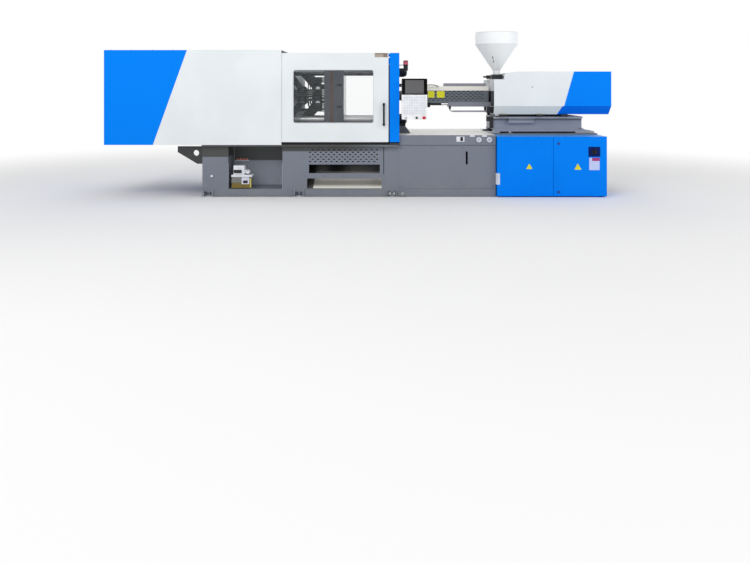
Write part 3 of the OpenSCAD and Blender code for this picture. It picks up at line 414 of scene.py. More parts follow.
def keep_result(piece):
    """Keeps what a piece's modifiers make of it as its plain mesh."""
    seen = piece.evaluated_get(bpy.context.evaluated_depsgraph_get())
    baked = bpy.data.meshes.new_from_object(seen)
    piece.modifiers.clear()
    piece.data = baked


def bake_tree(name, points, tree, values, body):
    """Runs a geometry tree on a mesh of points and lets the plain mesh that comes out ride on a body."""
    mesh = bpy.data.meshes.new(name + "_points")
    mesh.from_pydata([tuple(p) for p in points], [], [])
    piece = in_scene(name, mesh)
    modifier = piece.modifiers.new("build", "NODES")
    modifier.node_group = tree
    for item in tree.interface.items_tree:
        if item.in_out == "INPUT" and item.name in values:
            modifier[item.identifier] = values[item.name]
    keep_result(piece)
    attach(piece, body)


def screws(name, points, direction, radius, height, body, finish=None):
    turn = Vector(direction).to_track_quat("Z", "Y").to_euler()
    values = {"Head Radius": radius, "Head Height": height, "Turn": tuple(turn), "Finish": finish or zinc}
    bake_tree(name, points, hex_screws, values, body)


def rows(first_x, last_x, lines, count):
    """Evenly spaced points from one X to another along each line, which is given by its (Y, Z)."""
    return [(first_x + (last_x - first_x) * i / (count - 1), y, z) for y, z in lines for i in range(count)]


hex_screws = screw_tree()
zinc = polished("zinc_screws", srgb(176, 178, 176), 0.34, (1, 1, 1), 120.0)
painted_screws = sprayed("painted_screws", srgb(104, 109, 121), 0.45)
side_low, side_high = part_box("side_panels")
for name, y, way, last_x, count in (("panel_screws_front", side_low.y, -1, 1.59, 4),
                                    ("panel_screws_back", side_high.y, 1, side_high.x - 0.04, 7)):
    points = rows(side_low.x + 0.04, last_x, [(y, side_high.z - 0.03), (y, side_low.z + 0.03)], count)
    screws(name, points, (0, way, 0), 0.006, 0.005, "machine", painted_screws)
joint_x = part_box("injection_bed")[0].x
for name, y, way in (("joint_screws_front", bed_low.y, -1), ("joint_screws_back", bed_high.y, 1)):
    points = [(joint_x + shift, y, 0.045) for shift in (-0.05, -0.1, 0.05)]
    screws(name, points, (0, way, 0), 0.014, 0.014, "machine")

# The vent panel under the mould is punched sheet in the bed's grey, screwed on; the chute behind it is folded
# stainless, brushed along its length. Its tone is painted near white, as painted light in the bed's shade, with a
# darker band across its middle, its left end and its upper part painted dark, all as painted shade.
coat(clamp_paint, "vent_panel")


def painted_dark_band(tree):
    """A test for the band across the chute's middle that is painted darker, as painted shade."""
    return calculate(tree, "SUBTRACT", fading("Z", 0.112, 0.138)(tree), fading("Z", 0.160, 0.186)(tree))


chute_steel, tree, shader = new_material("chute_stainless")
lines = grain(tree, 14.0, 4.0, (60, 1, 1))
tone = blend_colours(tree, spread(tree, lines, 0.3, 0.7), srgb(246, 243, 234), srgb(252, 250, 242))
tone = add_zones(tree, tone, [(painted_dark_band, srgb(192, 188, 178)), (beyond("X", -0.585, -1), srgb(76, 76, 74)),
                              (fading("Z", 0.235, 0.265), srgb(13, 16, 19))])
set_inputs(shader, {"Base Color": tone, "Specular IOR Level": 0.15, "Roughness": 0.45})
add_bump(tree, shader, lines, 0.00002)
coat(chute_steel, "discharge_chute")
vent_low, vent_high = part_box("vent_panel")
points = rows(vent_low.x + 0.03, vent_high.x - 0.03, [(vent_low.y, vent_high.z - 0.02), (vent_low.y, 0.252)], 5)
screws("vent_screws", points, to_front, 0.006, 0.005, "machine", painted_screws)

# The hydraulic unit stands inside the injection bed: a painted oil tank, a flange and the pump's
# motor. The ways for the platens and the injection carriage are hardened and ground steel.
coat(sprayed("unit_paint", srgb(88, 96, 106), 0.45), "hydraulic_unit")
coat(polished("ground_ways", srgb(176, 178, 182), 0.2, (1, 40, 40), 10.0), "slide_rails")

# Tie bars are chromed and ground, with nuts locked on their threads at the fixed platen in dark
# blue, and geared adjusting nuts at the rear platen.
# The upper bars are painted dark and fully metallic, as painted shade, and the lower ones pale and less metallic,
# as a painted highlight; both stand for the chrome's reflections.
bars, tree, shader = new_material("chromed_bars")
lines = grain(tree, 8.0, 4.0, (50, 1, 1))
upper = beyond("Z", axis_z)(tree)
set_inputs(shader, {"Base Color": blend_colours(tree, upper, srgb(206, 206, 205), srgb(84, 87, 91)),
                    "Roughness": spread(tree, lines, 0.3, 0.7, 0.12, 0.2),
                    "Metallic": spread(tree, upper, 0, 1, 0.25, 1.0)})
coat(bars, "tie_bars")
coat(sprayed("nut_blue", srgb(14, 21, 38), 0.4, gloss=0.2), "tie_bar_nuts")
coat(polished("nut_steel", srgb(84, 88, 94), 0.4, (30, 1, 1), 20.0), "adjusting_nuts")
nut_low, nut_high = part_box("tie_bar_nuts")
nut_radius = 0.052
nut_y = (nut_low.y + nut_radius, nut_high.y - nut_radius)
nut_z = (nut_low.z + nut_radius, nut_high.z - nut_radius)
points = [(nut_high.x, *place) for y in nut_y for z in nut_z for place in arc(0.0435, range(30, 390, 60), (y, z))]
screws("nut_screws", points, (1, 0, 0), 0.0045, 0.006, "machine")

# The platens are ductile iron castings, painted dark, with their mould faces machined bright. The
# moving one has a rusty groove down its side and slots for clamping the mould.


def cast(name, colour, machined=None, zones=()):
    """Painted sand casting; machined(tree) is 1 where the face is cut to bright metal."""
    material, tree, shader = new_material(name)
    lumps = grain(tree, 55.0, 6.0)
    tone = blend_colours(tree, spread(tree, grain(tree, 4.0), 0.3, 0.7), shade(colour, 0.85), shade(colour, 1.1))
    tone = add_zones(tree, tone, zones)
    set_inputs(shader, {"Roughness": 0.5, "Specular IOR Level": 0.15})
    if machined:
        cut = machined(tree)
        tone = blend_colours(tree, cut, tone, srgb(168, 170, 173))
        set_inputs(shader, {"Metallic": cut, "Roughness": spread(tree, cut, 0, 1, 0.5, 0.24)})
    set_inputs(shader, {"Base Color": tone})
    add_bump(tree, shader, lumps, 0.0006)
    return material


def off_middle(tree, axis, middle):
    """How far a point is from a middle plane, to either side."""
    return calculate(tree, "ABSOLUTE", calculate(tree, "SUBTRACT", coordinate(tree, axis), middle))


def at_slot_height(tree):
    """A test for the heights of the two clamping slots, above and below the machine's axis."""
    from_slot = calculate(tree, "SUBTRACT", off_middle(tree, "Z", axis_z), 0.136)
    return calculate(tree, "LESS_THAN", calculate(tree, "ABSOLUTE", from_slot), 0.0115)


cast_dark = srgb(66, 68, 74)
fixed_gusset = all_of(beyond("X", 0.4455), beyond("Z", 0.86, -1))
coat(cast("fixed_platen_iron", cast_dark, beyond("X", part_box("fixed_platen")[0].x + 0.0005, -1),
          [(fixed_gusset, srgb(98, 100, 109))]), "fixed_platen")
# The moving platen's two clamping slots are painted near black, as painted shade in their recesses.
coat(cast("moving_platen_iron", srgb(84, 85, 92), beyond("X", -0.2285),
          [(within("X", -0.402, -0.360), srgb(92, 72, 66)),
           (all_of(within("X", -0.3165, -0.2535), at_slot_height), srgb(8, 8, 10)),
           (beyond("X", -0.4735, -1), srgb(24, 25, 28))]), "moving_platen")
coat(cast("rear_platen_iron", cast_dark), "rear_platen")

# A black plastic stop block stands on each side between the fixed platen's gusset and the
# lower nut.
block_piece("stop_blocks", [((0.459, y - 0.036, 0.833), (0.545, y + 0.036, 0.872)) for y in nut_y], 0.003,
            moulded("stop_black", srgb(22, 23, 26), 0.5), "machine")

# Toggle links are cast steel, blackened, and turn on ground pins. The crosshead and the clamp
# cylinder are painted steel, and the cylinder's flange is bolted to the rear platen.
coat(polished("pin_steel", srgb(172, 175, 180), 0.22, (1, 60, 1), 20.0), "rear_pins", "front_pins")
coat(cast("link_black", srgb(22, 23, 26)), "rear_link_upper", "rear_link_lower", "front_link_upper",
     "front_link_lower", "crosshead_link_upper", "crosshead_link_lower")
coat(polished("crosshead_steel", srgb(112, 116, 122), 0.35, (20, 1, 1), 16.0), "crosshead")
coat(sprayed("cylinder_paint", srgb(64, 71, 79), 0.4), "clamp_cylinder", "injection_cylinders")
flange_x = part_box("rear_platen")[0].x + 0.005
points = [(flange_x, *place) for place in arc(0.113, (22.5 + 45 * i for i in range(8)), (axis_y, axis_z))]
screws("flange_screws", points, (-1, 0, 0), 0.010, 0.014, "rear_platen")
coat(polished("ejector_steel", srgb(138, 141, 146), 0.3, (1, 30, 1), 14.0), "ejector")

# Steel pipes, bent cold and painted black, lead water from port to port at the back of the moving
# platen, six on each side, in pressed sleeves. The long ones reach back beside the toggle links.


def add_rod(bm, path, radius, steps=12):
    """A round rod along a list of points."""
    points = [Vector(p) for p in path]
    rings = []
    for i, point in enumerate(points):
        before, after = points[max(i - 1, 0)], points[min(i + 1, len(points) - 1)]
        place = facing(point, after - before)
        rings.append([bm.verts.new(place @ Vector((x, y, 0))) for x, y in arc(radius, whole_turn(steps))])
    add_skin(bm, rings, ends=True)


def rod_piece(name, path, radius, material, body, steps=12):
    bm = bmesh.new()
    add_rod(bm, path, radius, steps)
    finish_piece(name, bm, material, body, 50)


def bent(run, radius, steps=6):
    """Points along three straight runs between four points, with round bends at the two corners."""
    run = [Vector(p) for p in run]
    path = [run[0]]
    for i in (1, 2):
        into, out = (run[i] - run[i - 1]).normalized(), (run[i + 1] - run[i]).normalized()
        centre = run[i] + (out - into) * radius
        for back, on in arc(radius, (90 * k / steps for k in range(steps + 1))):
            path.append(centre - out * back + into * on)
    return path + [run[3]]


port_x = -0.473
sleeve_profile = [(0.0107, 0), (0.0125, 0.001), (0.0125, 0.028), (0.0107, 0.030)]
pipe_runs = ((0.300, -0.628, 0.178, -0.100, 0.045), (0.304, -0.652, 0.202, -0.124, 0.045),
             (0.308, -0.676, 0.226, -0.148, 0.045), (0.336, -0.930, 0.072, -0.012, 0.040),
             (0.340, -0.905, 0.046, -0.052, 0.045), (0.344, -0.880, 0.018, -0.186, 0.060))
bm, sleeves = bmesh.new(), bmesh.new()
for side in (-1, 1):
    for away, left, up, down, bend in pipe_runs:
        y, up, down = axis_y + side * away, axis_z + up, axis_z + down
        add_rod(bm, bent([(port_x, y, up), (left, y, up), (left, y, down), (port_x, y, down)], bend), 0.0105)
        for z in (up, down):
            add_turned(sleeves, sleeve_profile, (port_x - 0.001, y, z), (-1, 0, 0), 20)
finish_piece("platen_pipes", bm, moulded("pipe_black", srgb(20, 20, 22), 0.55, 600.0, 0.0002), "moving_platen",
             50)
finish_piece("pipe_sleeves", sleeves, zinc, "moving_platen")

# The clamp cover is folded from 3 mm sheet and sprayed white, with its free end blue. The two
# colours meet on a slant that runs over both sides and straight across the top.
signal_blue = srgb(0, 131, 248)
panel_white = srgb(234, 239, 242)


def past_slant(top, slope, sign=1):
    """A test that is 1 left of a slanted line, or right of it with sign -1. The line is given by its
    top point (X, Z) and its X per Z."""
    def test(tree):
        drop = calculate(tree, "SUBTRACT", top[1], coordinate(tree, "Z"))
        line = calculate(tree, "SUBTRACT", top[0], calculate(tree, "MULTIPLY", drop, slope))
        return calculate(tree, "LESS_THAN" if sign > 0 else "GREATER_THAN", coordinate(tree, "X"), line)
    return test


cover_low, cover_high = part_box("clamp_cover")
blue_end = past_slant((-2.095, cover_high.z), 0.359)
coat(sprayed("cover_paint", panel_white, 0.35, gloss=0.05, zones=[(blue_end, signal_blue)]), "clamp_cover")
cover_screw_paint = sprayed("cover_screw_paint", srgb(214, 219, 223), 0.35,
                            zones=[(blue_end, shade(signal_blue, 0.8))])
lines = [(y, cover_high.z) for y in (cover_low.y + 0.012, cover_high.y - 0.012)]
screws("cover_screws", rows(cover_low.x + 0.08, cover_high.x - 0.06, lines, 9), upwards, 0.006, 0.0035, "machine",
       cover_screw_paint)

# The guard's frame is blue like the cover's end: pillars, sills and a beam. The door's lower rail
# is bare black steel, with a brush strip in it.
sill_top, rail_top = 0.650, 0.662
coat(sprayed("guard_paint", signal_blue, 0.32, gloss=0.05,
             zones=[(beyond("Z", rail_top + 0.001, -1), srgb(14, 14, 16)),
                    (beyond("Z", sill_top - 0.001, -1), srgb(74, 73, 72))]), "guard_frame")
for name, y in (("door_brush_front", axis_y - 0.735), ("door_brush_back", axis_y + 0.735)):
    brush = ((-0.962, y - 0.004, sill_top - 0.006), (0.324, y + 0.004, rail_top - 0.001))
    block_piece(name, [brush], 0.001, moulded(name + "_black", srgb(20, 20, 22), 0.8, 1500.0, 0.0003), "machine")

# The sliding doors are folded white sheet with a clear pane in a pale rubber seal. Each has a
# black bar handle on two bosses, and a roller at its top corner that runs in the guard's guide.
door_front, door_back = axis_y - 0.741, axis_y + 0.741


def handle_and_bosses(tree):
    """A test for what stands proud of the two doors' faces."""
    return calculate(tree, "GREATER_THAN", off_middle(tree, "Y", axis_y), 0.7418)


coat(sprayed("door_paint", panel_white, 0.35, gloss=0.2, zones=[(handle_and_bosses, srgb(24, 24, 27))]),
     "front_door", "rear_door")

# The panes are thin clear sheet, which dims what is behind it very little. Wiping has left a
# slight haze on them.
clear_pane, tree, shader = new_material("clear_pane")
haze = spread(tree, grain(tree, 3.0, 5.0), 0.45, 0.8, 0.03, 0.08)
set_inputs(shader, {"Roughness": haze, "Base Color": srgb(226, 236, 240), "Alpha": 0.03, "IOR": 1.49})
coat(clear_pane, "front_window", "rear_window")


def rounded_outline(window, radius, grow=0.0, steps=8):
    """A rectangle (X, Z, X, Z) grown by a margin, with rounded corners, anticlockwise."""
    inset = radius - grow
    points = []
    for x, z, start in ((window[2] - inset, window[1] + inset, -90), (window[2] - inset, window[3] - inset, 0),
                        (window[0] + inset, window[3] - inset, 90), (window[0] + inset, window[1] + inset, 180)):
        points += arc(radius, (start + 90 * i / steps for i in range(steps + 1)), (x, z))
    return points


def add_ring(bm, outer, inner, y0, y1):
    """A flat frame between two outlines with the same number of points, from y0 to y1."""
    rings = [[bm.verts.new((x, y, z)) for x, z in outline]
             for outline, y in ((outer, y0), (inner, y0), (inner, y1), (outer, y1))]
    add_skin(bm, rings + rings[:1])


def plate_piece(name, outline, y0, y1, material, body):
    """A flat plate of an outline in X and Z, from y0 to y1."""
    bm = bmesh.new()
    add_skin(bm, [[bm.verts.new((x, y, z)) for x, z in outline] for y in (y0, y1)], ends=True)
    finish_piece(name, bm, material, body)


pane_low, pane_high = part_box("front_window")
pane_lap = 0.0177
window = (pane_low.x + pane_lap, pane_low.z + pane_lap, pane_high.x - pane_lap, pane_high.z - pane_lap)
black_rubber = moulded("roller_rubber", srgb(28, 28, 30), 0.7, 1200.0, 0.0001)
pale_rubber = moulded("seal_rubber", srgb(206, 210, 214), 0.7, 1200.0, 0.0001)
for side, body, y, way in (("front", "front_door", door_front, -1), ("rear", "rear_door", door_back, 1)):
    bm = bmesh.new()
    add_ring(bm, rounded_outline(window, 0.033, 0.006), rounded_outline(window, 0.024, -0.003),
             y + way * 0.002, y - way * 0.0028)
    finish_piece(side + "_seal", bm, pale_rubber, body, 50)
    roller = ((-0.953, y - way * 0.012, 1.726), (-0.939, y - way * 0.024, 1.744))
    block_piece(side + "_roller", [roller], 0.002, black_rubber, body)

# A small metal plate is riveted to the front door's top corner: a brown band beside a beige one,
# left bare.
door_plate_paint = sprayed("door_plate_paint", srgb(172, 160, 146), 0.4,
                           zones=[(beyond("X", 0.262), srgb(132, 116, 104)),
                                  (beyond("Z", 1.719), srgb(120, 106, 96))])
block_piece("door_plate", [((0.158, door_front - 0.0015, 1.682), (0.314, door_front + 0.0005, 1.731))], 0.0005,
            door_plate_paint, "front_door")

# The beacon is a red ribbed lens on a black base, held off the pillar by a bent arm. The lens is moulded clear
# red; its colour is painted paler towards its foot and darker towards its top, as painted light and shade.
lens_low, lens_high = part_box("beacon_lens")
coat(sprayed("beacon_black", srgb(30, 32, 38), 0.4, gloss=0.2,
             zones=[(beyond("X", lens_low.x - 0.0025, -1), srgb(176, 180, 186))]), "beacon_base")
lens_red, tree, shader = new_material("lens_red")
tone = blend_colours(tree, fading("Z", 1.595, 1.650)(tree), srgb(204, 84, 112), srgb(124, 22, 40))
set_inputs(shader, {"Base Color": tone, "Roughness": 0.12, "Coat Weight": 0.6})
add_bump(tree, shader, grain(tree, 200.0, 1.0, (1, 1, 0.05)), 0.0004)
coat(lens_red, "beacon_lens")


def rib_tree():
    """Nodes that stand upright ribs evenly round a circle, facing outwards."""
    sizes = (("Ribs", "Int"), ("Circle Radius", "Float"), ("Rib Size", "Vector"))
    tree, inside = new_tree("round_ribs", "Centre", sizes, "Ring")
    size = {"Vertices": inside.outputs["Ribs"], "Radius": inside.outputs["Circle Radius"]}
    circle = add_node(tree, "GeometryNodeMeshCircle", size)
    rib = add_node(tree, "GeometryNodeMeshCube", {"Size": inside.outputs["Rib Size"]})
    place = add_node(tree, "GeometryNodeInputPosition").outputs[0]
    outwards = add_node(tree, "FunctionNodeAlignEulerToVector", {"Vector": place}, axis="X")
    ring = copies(tree, circle.outputs["Mesh"], rib.outputs["Mesh"], outwards.outputs["Rotation"])
    return end_tree(tree, inside, copies(tree, inside.outputs["Centre"], ring))


lens_middle = (lens_low + lens_high) / 2
bake_tree("lens_ribs", [(lens_middle.x, lens_middle.y, lens_low.z + 0.019)], rib_tree(),
          {"Ribs": 28, "Circle Radius": 0.0282, "Rib Size": (0.0016, 0.0022, 0.034), "Finish": lens_red},
          "machine")

# The control panel is a white box on a black swivel arm. Its upper half is a screen in a black
# bezel, its lower half a membrane plate with rows of pale keys, left without signs.
coat(moulded("arm_black", srgb(40, 42, 47), 0.45), "panel_arm")
coat(moulded("case_white", srgb(236, 237, 240), 0.4), "control_panel")
case_low, case_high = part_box("control_panel")
case_left, case_front = 0.480, case_low.y
screen_foot = 1.232
screen = (0.519, 1.245, 0.743, 1.407)
bm = bmesh.new()
add_ring(bm, rounded_outline((case_left, screen_foot, case_high.x, case_high.z), 0.009),
         rounded_outline(screen, 0.004), case_front - 0.002, case_front + 0.0008)
bezel_black = moulded("bezel_black", srgb(6, 6, 7), 0.3, 1600.0, 0.00002, 0.06)
finish_piece("screen_bezel", bm, bezel_black, "control_panel", 50)
display, tree, shader = new_material("display_grey")
tone = blend_colours(tree, spread(tree, grain(tree, 2.5), 0.3, 0.7), srgb(82, 82, 84), srgb(92, 92, 94))
set_inputs(shader, {"Base Color": tone, "Roughness": 0.3, "Coat Weight": 0.25, "Coat Roughness": 0.05})
plate_piece("display", rounded_outline(screen, 0.003, -0.0005), case_front + 0.0015, case_front + 0.0032, display,
            "control_panel")
keypad = (case_left + 0.012, 0.986, case_high.x - 0.012, screen_foot - 0.012)
plate_piece("membrane", rounded_outline(keypad, 0.006), case_front - 0.001, case_front + 0.0005,
            moulded("membrane_white", srgb(230, 232, 236), 0.35), "control_panel")


def key_tree():
    """Nodes that lay a grid of flat keys in the X and Z plane round each vertex."""
    sizes = (("Columns", "Int"), ("Rows", "Int"), ("Width", "Float"), ("Height", "Float"), ("Key Size", "Vector"))
    tree, inside = new_tree("key_rows", "Middle", sizes, "Keys")
    names = (("Columns", "Vertices X"), ("Rows", "Vertices Y"), ("Width", "Size X"), ("Height", "Size Y"))
    grid = add_node(tree, "GeometryNodeMeshGrid", {socket: inside.outputs[label] for label, socket in names})
    key = add_node(tree, "GeometryNodeMeshCube", {"Size": inside.outputs["Key Size"]})
    standing = {"Geometry": grid.outputs["Mesh"], "Rotation": (math.radians(90), 0, 0)}
    upright = add_node(tree, "GeometryNodeTransform", standing)
    keys = copies(tree, upright.outputs["Geometry"], key.outputs["Mesh"])
    return end_tree(tree, inside, copies(tree, inside.outputs["Middle"], keys))


bake_tree("membrane_keys", [((case_left + case_high.x) / 2, case_front - 0.0015, 1.104)], key_tree(),
          {"Columns": 9, "Rows": 7, "Width": 0.232, "Height": 0.186, "Key Size": (0.020, 0.0016, 0.020),
           "Finish": moulded("key_grey", srgb(217, 220, 225), 0.35)}, "control_panel")
coat(moulded("stop_red", srgb(196, 38, 60), 0.3), "e_stop")
coat(moulded("knob_black", srgb(28, 29, 32), 0.4), "selector_knob")
coat(moulded("button_grey", srgb(142, 144, 148), 0.4), "grey_button")
points = [(x, case_front + 0.060, z) for x in (0.52, 0.765) for z in (0.965, 1.39)]
screws("case_screws", points, (0, 1, 0), 0.005, 0.004, "control_panel")

# The lubrication pump in the bay: a pale housing with a dark display, a round gauge, and a clear
# reservoir with yellow oil in its lower part and a level strip at its end.
coat(moulded("pump_white", srgb(232, 233, 240), 0.4), "lubrication_pump")
tank_low, tank_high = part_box("oil_reservoir")
oil, tree, shader = new_material("reservoir_oil")
level = beyond("Z", tank_low.z + 0.062, -1)(tree)
set_inputs(shader, {"Base Color": blend_colours(tree, level, srgb(170, 172, 168), srgb(122, 104, 34)),
                    "Alpha": spread(tree, level, 0, 1, 0.42, 0.9), "Roughness": 0.15})
coat(oil, "oil_reservoir")
pump_x, pump_front = tank_low.x + 0.022, bed_low.y + 0.020
pump_pane = ((pump_x + 0.010, pump_front - 0.0012, 0.287), (pump_x + 0.106, pump_front + 0.001, 0.327))
tank_pane = ((pump_x + 0.116, tank_low.y - 0.0025, 0.160), (pump_x + 0.172, tank_low.y + 0.0005, 0.194))
block_piece("pump_display", [pump_pane, tank_pane], 0.0005, moulded("display_black", srgb(44, 42, 46), 0.2),
            "machine")
plate = ((pump_x + 0.098, tank_low.y - 0.0015, 0.150), (pump_x + 0.190, tank_low.y + 0.0005, 0.232))
block_piece("tank_plate", [plate], 0.0004, moulded("tank_plate_white", srgb(208, 210, 224), 0.35), "machine")
# The red caps on the outlet pegs are painted pale, as painted light in the bay's shade.
bm = bmesh.new()
for i in range(4):
    add_turned(bm, [(0, 0.002), (0.015, 0.002), (0.015, 0.018), (0.011, 0.024), (0, 0.024)],
               (-1.565 + 0.037 * i, axis_y - 0.316, 0.406), upwards, 24)
finish_piece("outlet_caps", bm, moulded("cap_red", srgb(236, 150, 132), 0.4), "machine")
bm = bmesh.new()
gauge = Vector((pump_x + 0.178, pump_front - 0.0138, 0.299))
add_turned(bm, [(0.020, 0), (0.024, 0), (0.024, 0.003), (0.0215, 0.004), (0.020, 0.0015)], gauge, to_front, 40)
add_block(bm, gauge + Vector((-0.0008, -0.0018, -0.004)), gauge + Vector((0.0008, 0.0002, 0.016)), 0.0002)
finish_piece("gauge_rim", bm, black_rubber, "machine")
strip = ((tank_high.x - 0.001, tank_low.y + 0.004, 0.106), (tank_high.x + 0.019, tank_low.y + 0.020, 0.218))
block_piece("level_strip", [strip], 0.002, moulded("strip_yellow", srgb(196, 184, 84), 0.3), "machine")

# The electrical cabinet is a blue folded shell with two doors, its devices on a zinc plate. The
# right door has a rotary switch on a dark plate and two locks, and a pale plate with a red head.
cabinet_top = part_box("cabinet_shell")[1].z
cabinet_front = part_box("cabinet_door_left")[0].y
# The shell's top is painted pale blue, as a painted highlight of the blue paint seen at a grazing angle.
coat(sprayed("blue_paint", signal_blue, 0.32, gloss=0.05,
             zones=[(beyond("Z", cabinet_top - 0.0006), srgb(84, 160, 232))]),
     "cabinet_shell", "cabinet_door_left")
coat(polished("cabinet_zinc", srgb(168, 171, 172), 0.4, (20, 1, 1), 12.0), "cabinet_devices")


def on_plate(low, high):
    """A test that is 1 in front of the cabinet door's face between two heights."""
    return all_of(beyond("Y", cabinet_front - 0.0005, -1), within("Z", low, high))


coat(sprayed("right_door_paint", signal_blue, 0.32, gloss=0.05,
             zones=[(on_plate(0.485, 0.61), srgb(12, 34, 96)), (on_plate(0.32, 0.48), srgb(196, 208, 246)),
                    (all_of(on_plate(0.436, 0.474), beyond("X", 2.766)), srgb(172, 66, 120))]),
     "cabinet_door_right")
coat(sprayed("lock_blue", srgb(24, 72, 152), 0.35), "lock_top", "lock_bottom")
coat(moulded("isolator_black", srgb(24, 26, 34), 0.35), "isolator_handle")

# A plain yellow triangle of foil is stuck on each cabinet door, and a pale plastic clip holds the
# left door's edge at the corner of the shell.
foil_yellow = moulded("sign_yellow", srgb(214, 210, 40), 0.4)
for name, body, x, z, size in (("triangle_left", "cabinet_door_left", 2.013, 0.371, 0.076),
                               ("triangle_right", "cabinet_door_right", 2.596, 0.367, 0.086)):
    outline = []
    for across, up, start in ((0.42, -0.36, -90), (0.0, 0.36, 30), (-0.42, -0.36, 150)):
        outline += arc(0.05 * size, range(start, start + 121, 30), (x + size * across, z + size * up))
    plate_piece(name, outline, cabinet_front - 0.0012, cabinet_front + 0.0004, foil_yellow, body)
clip_grey = moulded("clip_grey", srgb(206, 212, 218), 0.35)
clips = (("cabinet_clip", "machine", 1.616, 1.6279, 0.050, 0.002),
         ("cabinet_clip_leaf", "cabinet_door_left", 1.630, 1.661, 0.0005, 0.0005))
for name, body, left, right, back, bevel in clips:
    clip = ((left, cabinet_front - 0.0015, 0.152), (right, cabinet_front + back, 0.288))
    block_piece(name, [clip], bevel, clip_grey, body)

# The injection carriage is a welded base in the bed's grey, with a black bracket at its front end only, so the
# base is shown without the rear one. Its grey is painted lighter than the bed's, as painted light against the
# housing's shade, with a painted highlight on the top plate's edge and a band of painted shade under that edge.
base_low, base_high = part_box("carriage_base")
plate_top = base_high.z - 0.0315
carriage_paint = sprayed("carriage_paint", srgb(152, 157, 171), 0.42, zones=[
    (beyond("Z", plate_top - 0.049), srgb(112, 115, 124)), (beyond("Z", plate_top - 0.023), srgb(188, 189, 197)),
    (beyond("Z", plate_top + 0.0005), srgb(20, 20, 23)), (beyond("X", 1.6505, -1), srgb(26, 26, 29))])
coat(carriage_paint, "carriage_base")
base_start, past_base = 1.652, 0.05
cut_low = Vector((base_low.x - past_base, axis_y, base_low.z - past_base))
cut_high = Vector((base_start, base_high.y + past_base, base_high.z + past_base))
bm = bmesh.new()
bmesh.ops.create_cube(bm, size=1, matrix=Matrix.Translation((cut_low + cut_high) / 2)
                      @ Matrix.Diagonal((*(cut_high - cut_low), 1)))
bracket_cut = in_scene("bracket_cut", mesh_of("bracket_cut", bm))
bm = bmesh.new()
bm.from_mesh(nodes["carriage_base"].data)
bmesh.ops.remove_doubles(bm, verts=bm.verts, dist=1e-6)
carriage_frame = in_scene("carriage_frame", mesh_of("carriage_frame", bm))
carriage_frame.data.materials.append(carriage_paint)
cutting = carriage_frame.modifiers.new("cut", "BOOLEAN")
cutting.operation = "DIFFERENCE"
cutting.solver = "EXACT"
cutting.object = bracket_cut
keep_result(carriage_frame)
bpy.data.objects.remove(bracket_cut)
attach(carriage_frame, "carriage")
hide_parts("carriage_base")

# A black rubber strip closes the gap between the carriage and the housing, with a short pale shim at its left end.
# Black strips at the foot of the carriage, over the ways, are painted shade of the gap under the base.
housing_low, housing_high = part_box("injection_housing")
strip_foot, strip_top, shim_foot = plate_top - 0.0005, housing_low.z - 0.0005, plate_top + 0.010
shim_run = (1.668, 1.7125)
strips = []
for side in (-1, 1):
    y = axis_y + side * 0.345
    for run in (shim_run, (1.7915, 2.1725), (2.2515, 2.4785)):
        top = shim_foot if side < 0 and run == shim_run else strip_top
        strips.append(((run[0], y, strip_foot), (run[1], y - side * 0.012, top)))
block_piece("housing_strips", strips, 0.002, black_rubber, "carriage")
shim = ((shim_run[0], axis_y - 0.345, shim_foot), (shim_run[1], axis_y - 0.333, strip_top))
block_piece("pale_shim", [shim], 0.002, moulded("shim_white", srgb(250, 250, 250), 0.5), "carriage")
under_base_shade = [((x0, y - 0.005, base_low.z - 0.020), (x1, y + 0.005, base_low.z + 0.002))
          for x0, x1 in ((1.742, 1.842), (1.890, 2.680)) for y in (axis_y - 0.322, axis_y + 0.322)]
block_piece("gap_shade_strips", under_base_shade, 0.002, black_rubber, "carriage")

# The injection unit: a cast feed housing and drive plate, painted, a polished screw, and a barrel
# of bare steel, blued by heat, with sheet steel heater bands clamped round it.
# The feed housing's top is painted pale, as a painted highlight in line with the guard's folded top.
coat(sprayed("feed_paint", srgb(84, 87, 94), 0.45,
             zones=[(all_of(beyond("Z", 1.1385), beyond("X", 1.6530, -1)), srgb(20, 20, 23)),
                    (beyond("Z", 1.2745), srgb(212, 215, 219))]), "feed_housing")
coat(sprayed("drive_paint", srgb(88, 94, 102), 0.45), "drive_plate")
coat(polished("screw_steel", srgb(186, 189, 194), 0.18, (1, 20, 20), 20.0), "injection_screw")
barrel_steel, tree, shader = new_material("barrel_steel")
tone = blend_colours(tree, spread(tree, grain(tree, 5.0), 0.35, 0.7), srgb(84, 82, 79), srgb(104, 92, 78))
set_inputs(shader, {"Base Color": tone, "Metallic": 0.7, "Roughness": 0.4})
add_bump(tree, shader, grain(tree, 60.0, 2.0, (20, 1, 1)), 0.00005)
coat(barrel_steel, "barrel")
coat(polished("heater_steel", srgb(62, 62, 62), 0.55, (10, 1, 1), 30.0, 0.5), "heater_bands")

